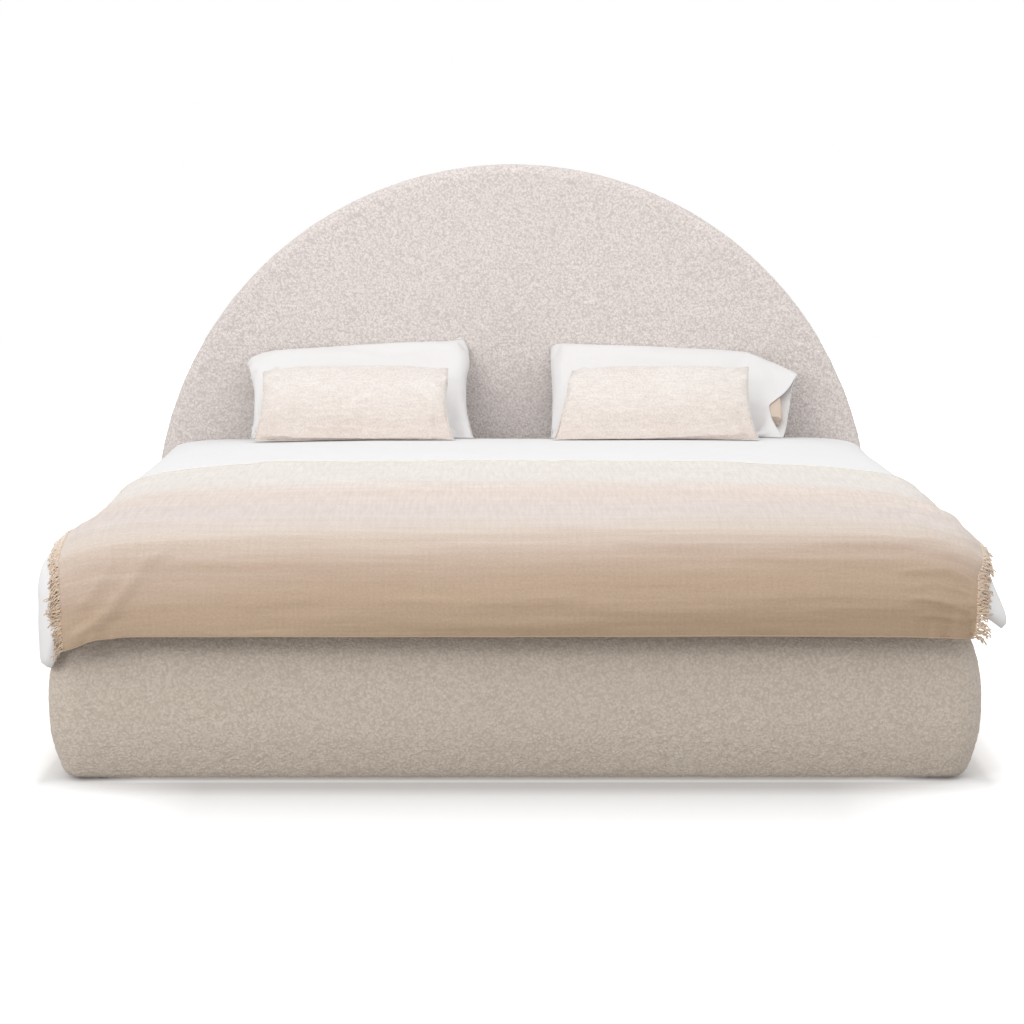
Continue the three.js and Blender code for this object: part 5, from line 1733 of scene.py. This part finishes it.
def against(front, fr):
    """Keeps a cushion in front of the pillow it leans on."""
    C, X, V, W = fr
    loc = front.reshape(-1, 3) - C
    lu, lv, lw = loc @ X, loc @ V, loc @ W
    gu = np.linspace(-.36, .44, 81); gv = np.linspace(-.25, .25, 51)
    H = np.full((51, 81), -.2)
    iu = np.clip(np.rint((lu - gu[0]) / (gu[1] - gu[0])).astype(int), 0, 80)
    iv = np.clip(np.rint((lv - gv[0]) / (gv[1] - gv[0])).astype(int), 0, 50)
    np.maximum.at(H, (iv, iu), lw)

    def fn(Q):
        q = Q - C
        u, v, w_ = q @ X, q @ V, q @ W
        a = (u - gu[0]) / (gu[1] - gu[0]); b_ = (v - gv[0]) / (gv[1] - gv[0])
        ok = (a > 0) & (a < 79) & (b_ > 0) & (b_ < 49)
        a = np.clip(a, 0, 79); b_ = np.clip(b_, 0, 49)
        i, j = a.astype(int), b_.astype(int)
        fa, fb = a - i, b_ - j
        hh = (H[j, i] * (1 - fa) + H[j, i + 1] * fa) * (1 - fb) + (H[j + 1, i] * (1 - fa) + H[j + 1, i + 1] * fa) * fb
        pen = hh + .003 - w_
        hit = ok & (pen > 0) & (hh > -.1)
        return Q + np.where(hit, np.minimum(pen, .02), 0)[:, None] * W
    return fn


def cushion(tag, fr, pf, pfr, seed):
    w, h = .585, .326
    F_, B_, flat, free = stuffed(w, h, .124, .0115, fr, fill=.66, seed=seed, behind=against(pf, pfr), taper=.10, corner=.016)
    f, b, uv = close_bag(F_, B_, flat, free)
    keep_off = against(pf, pfr)
    f, b = (lay_seams(g, fr, SEAMS["cushion_" + tag]) for g in (f, b))
    for i in range(3):
        f, b = (off_duvet(keep_off(g.reshape(-1, 3)).reshape(g.shape)) for g in (f, b))
    f, b = skin_detail(f, b, uv, w, h, seed, .0016)
    # soft dents from being set down by hand
    n = grid_normals(f)
    dent = perlin(np.stack([uv[..., 0] / .17, uv[..., 1] / .11, 0 * uv[..., 0] + seed * 1.7], -1), 91)
    f = f + n * (.0040 * dent * sstep(0, .07, h / 2 - np.abs(uv[..., 1])) * sstep(0, .07, w / 2 - np.abs(uv[..., 0])))[..., None]
    ob = bag_mesh("cushion_%s_cover" % tag, f, b, M["linen"], uv=uv)
    sm = seam_line("cushion_%s_seam" % tag, (f + b) / 2, M["linen"], r=.0013, uv=.05)
    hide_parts("cushion_" + tag)
    for o in (ob, sm):
        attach(o, "cushion_" + tag)
    return f, uv


PLF, PLUV = pillow_left()
PRF, PRUV = pillow_right()

cushion("left", FR_CL, PLF, FR_PL, 3)
cushion("right", FR_CR, PRF, FR_PR, 4)


# ---------------------------------------------------------------- studio
FLOOR_GLOW = .005
SKY_LOW, SKY_HIGH = (1.13, 1.12, 1.11, 1), (.85, .85, .85, 1)
KEY_W, TOP_W = 92, 21


def studio():
    fl = make("floor", [(-14, -12, 0), (14, -12, 0), (14, 14, 0), (-14, 14, 0)], [(0, 1, 2, 3)], False)
    m, nt, bs = new_mat("floor_white")
    N = NT(nt)
    lp = N.node("ShaderNodeLightPath")
    # paper-white away from the bed, with the shadow left round its foot: to the camera the floor is greyed close to the
    # bed as painted contact shade and glows further out as painted light; other rays see a darker floor
    sep = N.node("ShaderNodeSeparateXYZ")
    N.link(N.coords(), sep.inputs[0])
    ax = N.math("MAXIMUM", N.math("SUBTRACT", N.math("ABSOLUTE", sep.outputs["X"]), 1.05), 0.0)
    ay = N.math("MAXIMUM", N.math("SUBTRACT", N.math("ABSOLUTE", sep.outputs["Y"]), 1.08), 0.0)
    ax = N.math("MULTIPLY", ax, 4.0)
    away = N.math("SQRT", N.math("ADD", N.math("MULTIPLY", ax, ax), N.math("MULTIPLY", ay, ay)))
    painted_contact_shade = N.maprange(away, .05, .14, .76, .94)
    grey = N.node("ShaderNodeCombineColor")
    for k in range(3):
        N.link(painted_contact_shade, grey.inputs[k])
    col = N.mix(lp.outputs["Is Camera Ray"], (.53, .51, .49, 1), grey.outputs[0])
    N.link(col, bs.inputs["Base Color"])
    painted_floor_glow = N.maprange(away, .20, .90, FLOOR_GLOW, .20)
    bs.inputs["Emission Color"].default_value = (1, 1, 1, 1)
    edge = N.math("ABSOLUTE", sep.outputs["Y"])
    wide = N.math("ABSOLUTE", sep.outputs["X"])
    # painted light: a glowing band on the floor just inside the base's foot and head ends, between the corners
    painted_lip_glow = N.math("MULTIPLY", N.maprange(edge, 1.085, 1.060, 0, .22), N.maprange(edge, .95, 1.0, 0, 1))
    painted_lip_glow = N.math("MULTIPLY", painted_lip_glow, N.maprange(wide, .84, .98, 1, 0))
    # painted light: camera-seen glow that washes the shadow out at the bed's sides and front corners
    painted_floor_glow = N.math("ADD", painted_floor_glow, N.math("MAXIMUM", N.maprange(wide, 1.0, 1.14, 0, .34),
                                      N.math("MULTIPLY", N.maprange(wide, .70, 1.04, 0, 1), N.maprange(edge, 1.0, 1.12, 0, .34))))
    N.link(N.math("ADD", N.math("MULTIPLY", painted_floor_glow, lp.outputs["Is Camera Ray"]), painted_lip_glow), bs.inputs["Emission Strength"])
    bs.inputs["Roughness"].default_value = .9
    bs.inputs["Specular IOR Level"].default_value = 0
    assign(fl, m)
    w = bpy.data.worlds.new("studio_world"); SC.world = w
    w.use_nodes = True
    nt = w.node_tree
    nt.nodes.clear()
    N = NT(nt)
    out = nt.nodes.new("ShaderNodeOutputWorld")
    lit = nt.nodes.new("ShaderNodeBackground"); seen = nt.nodes.new("ShaderNodeBackground")
    # a soft ceiling: dimmer overhead, brighter towards the horizon and below it
    sep = N.node("ShaderNodeSeparateXYZ")
    N.link(N.node("ShaderNodeTexCoord").outputs["Generated"], sep.inputs[0])
    up = N.maprange(sep.outputs["Z"], 0, 1, 0, 1)
    col = N.mix(up, SKY_LOW, SKY_HIGH)
    N.link(col, lit.inputs["Color"])
    lit.inputs["Strength"].default_value = 1.0
    seen.inputs["Color"].default_value = (1, 1, 1, 1); seen.inputs["Strength"].default_value = 1.0
    mx = nt.nodes.new("ShaderNodeMixShader"); lp = nt.nodes.new("ShaderNodeLightPath")
    nt.links.new(lp.outputs["Is Camera Ray"], mx.inputs[0])
    nt.links.new(lit.outputs[0], mx.inputs[1]); nt.links.new(seen.outputs[0], mx.inputs[2])
    nt.links.new(mx.outputs[0], out.inputs[0])

    def area(name, loc, aim, size, power, colour=(1, 1, 1)):
        d = bpy.data.lights.new(name, "AREA")
        d.shape = "RECTANGLE"; d.size, d.size_y = size
        d.energy = power; d.color = colour
        o = bpy.data.objects.new(name, d)
        SC.collection.objects.link(o)
        o.location = loc
        o.rotation_euler = (Vector(aim) - Vector(loc)).to_track_quat("-Z", "Y").to_euler()
        return o
    area("key_front", (-3.2, -6.2, 2.8), (0, -.6, .45), (2.4, 1.3), KEY_W, (1, .995, .99))
    area("soft_top", (0, -1.0, 3.6), (0, .5, .6), (3.0, 1.6), TOP_W, (1, 1, 1))
    cam = bpy.data.cameras.new("view"); co = bpy.data.objects.new("view", cam)
    SC.collection.objects.link(co); SC.camera = co
    cam.sensor_width = 36; cam.lens = 2983 / 1024 * 36
    cam.clip_start, cam.clip_end = .1, 60
    co.location = (-.0276, -7.6426, 1.4219)
    co.rotation_euler = (math.radians(90 - 7.035), 0, math.radians(-.1766))
    vs = SC.view_settings
    vs.view_transform = "Standard"; vs.look = "None"; vs.exposure = 0; vs.gamma = 1


studio()
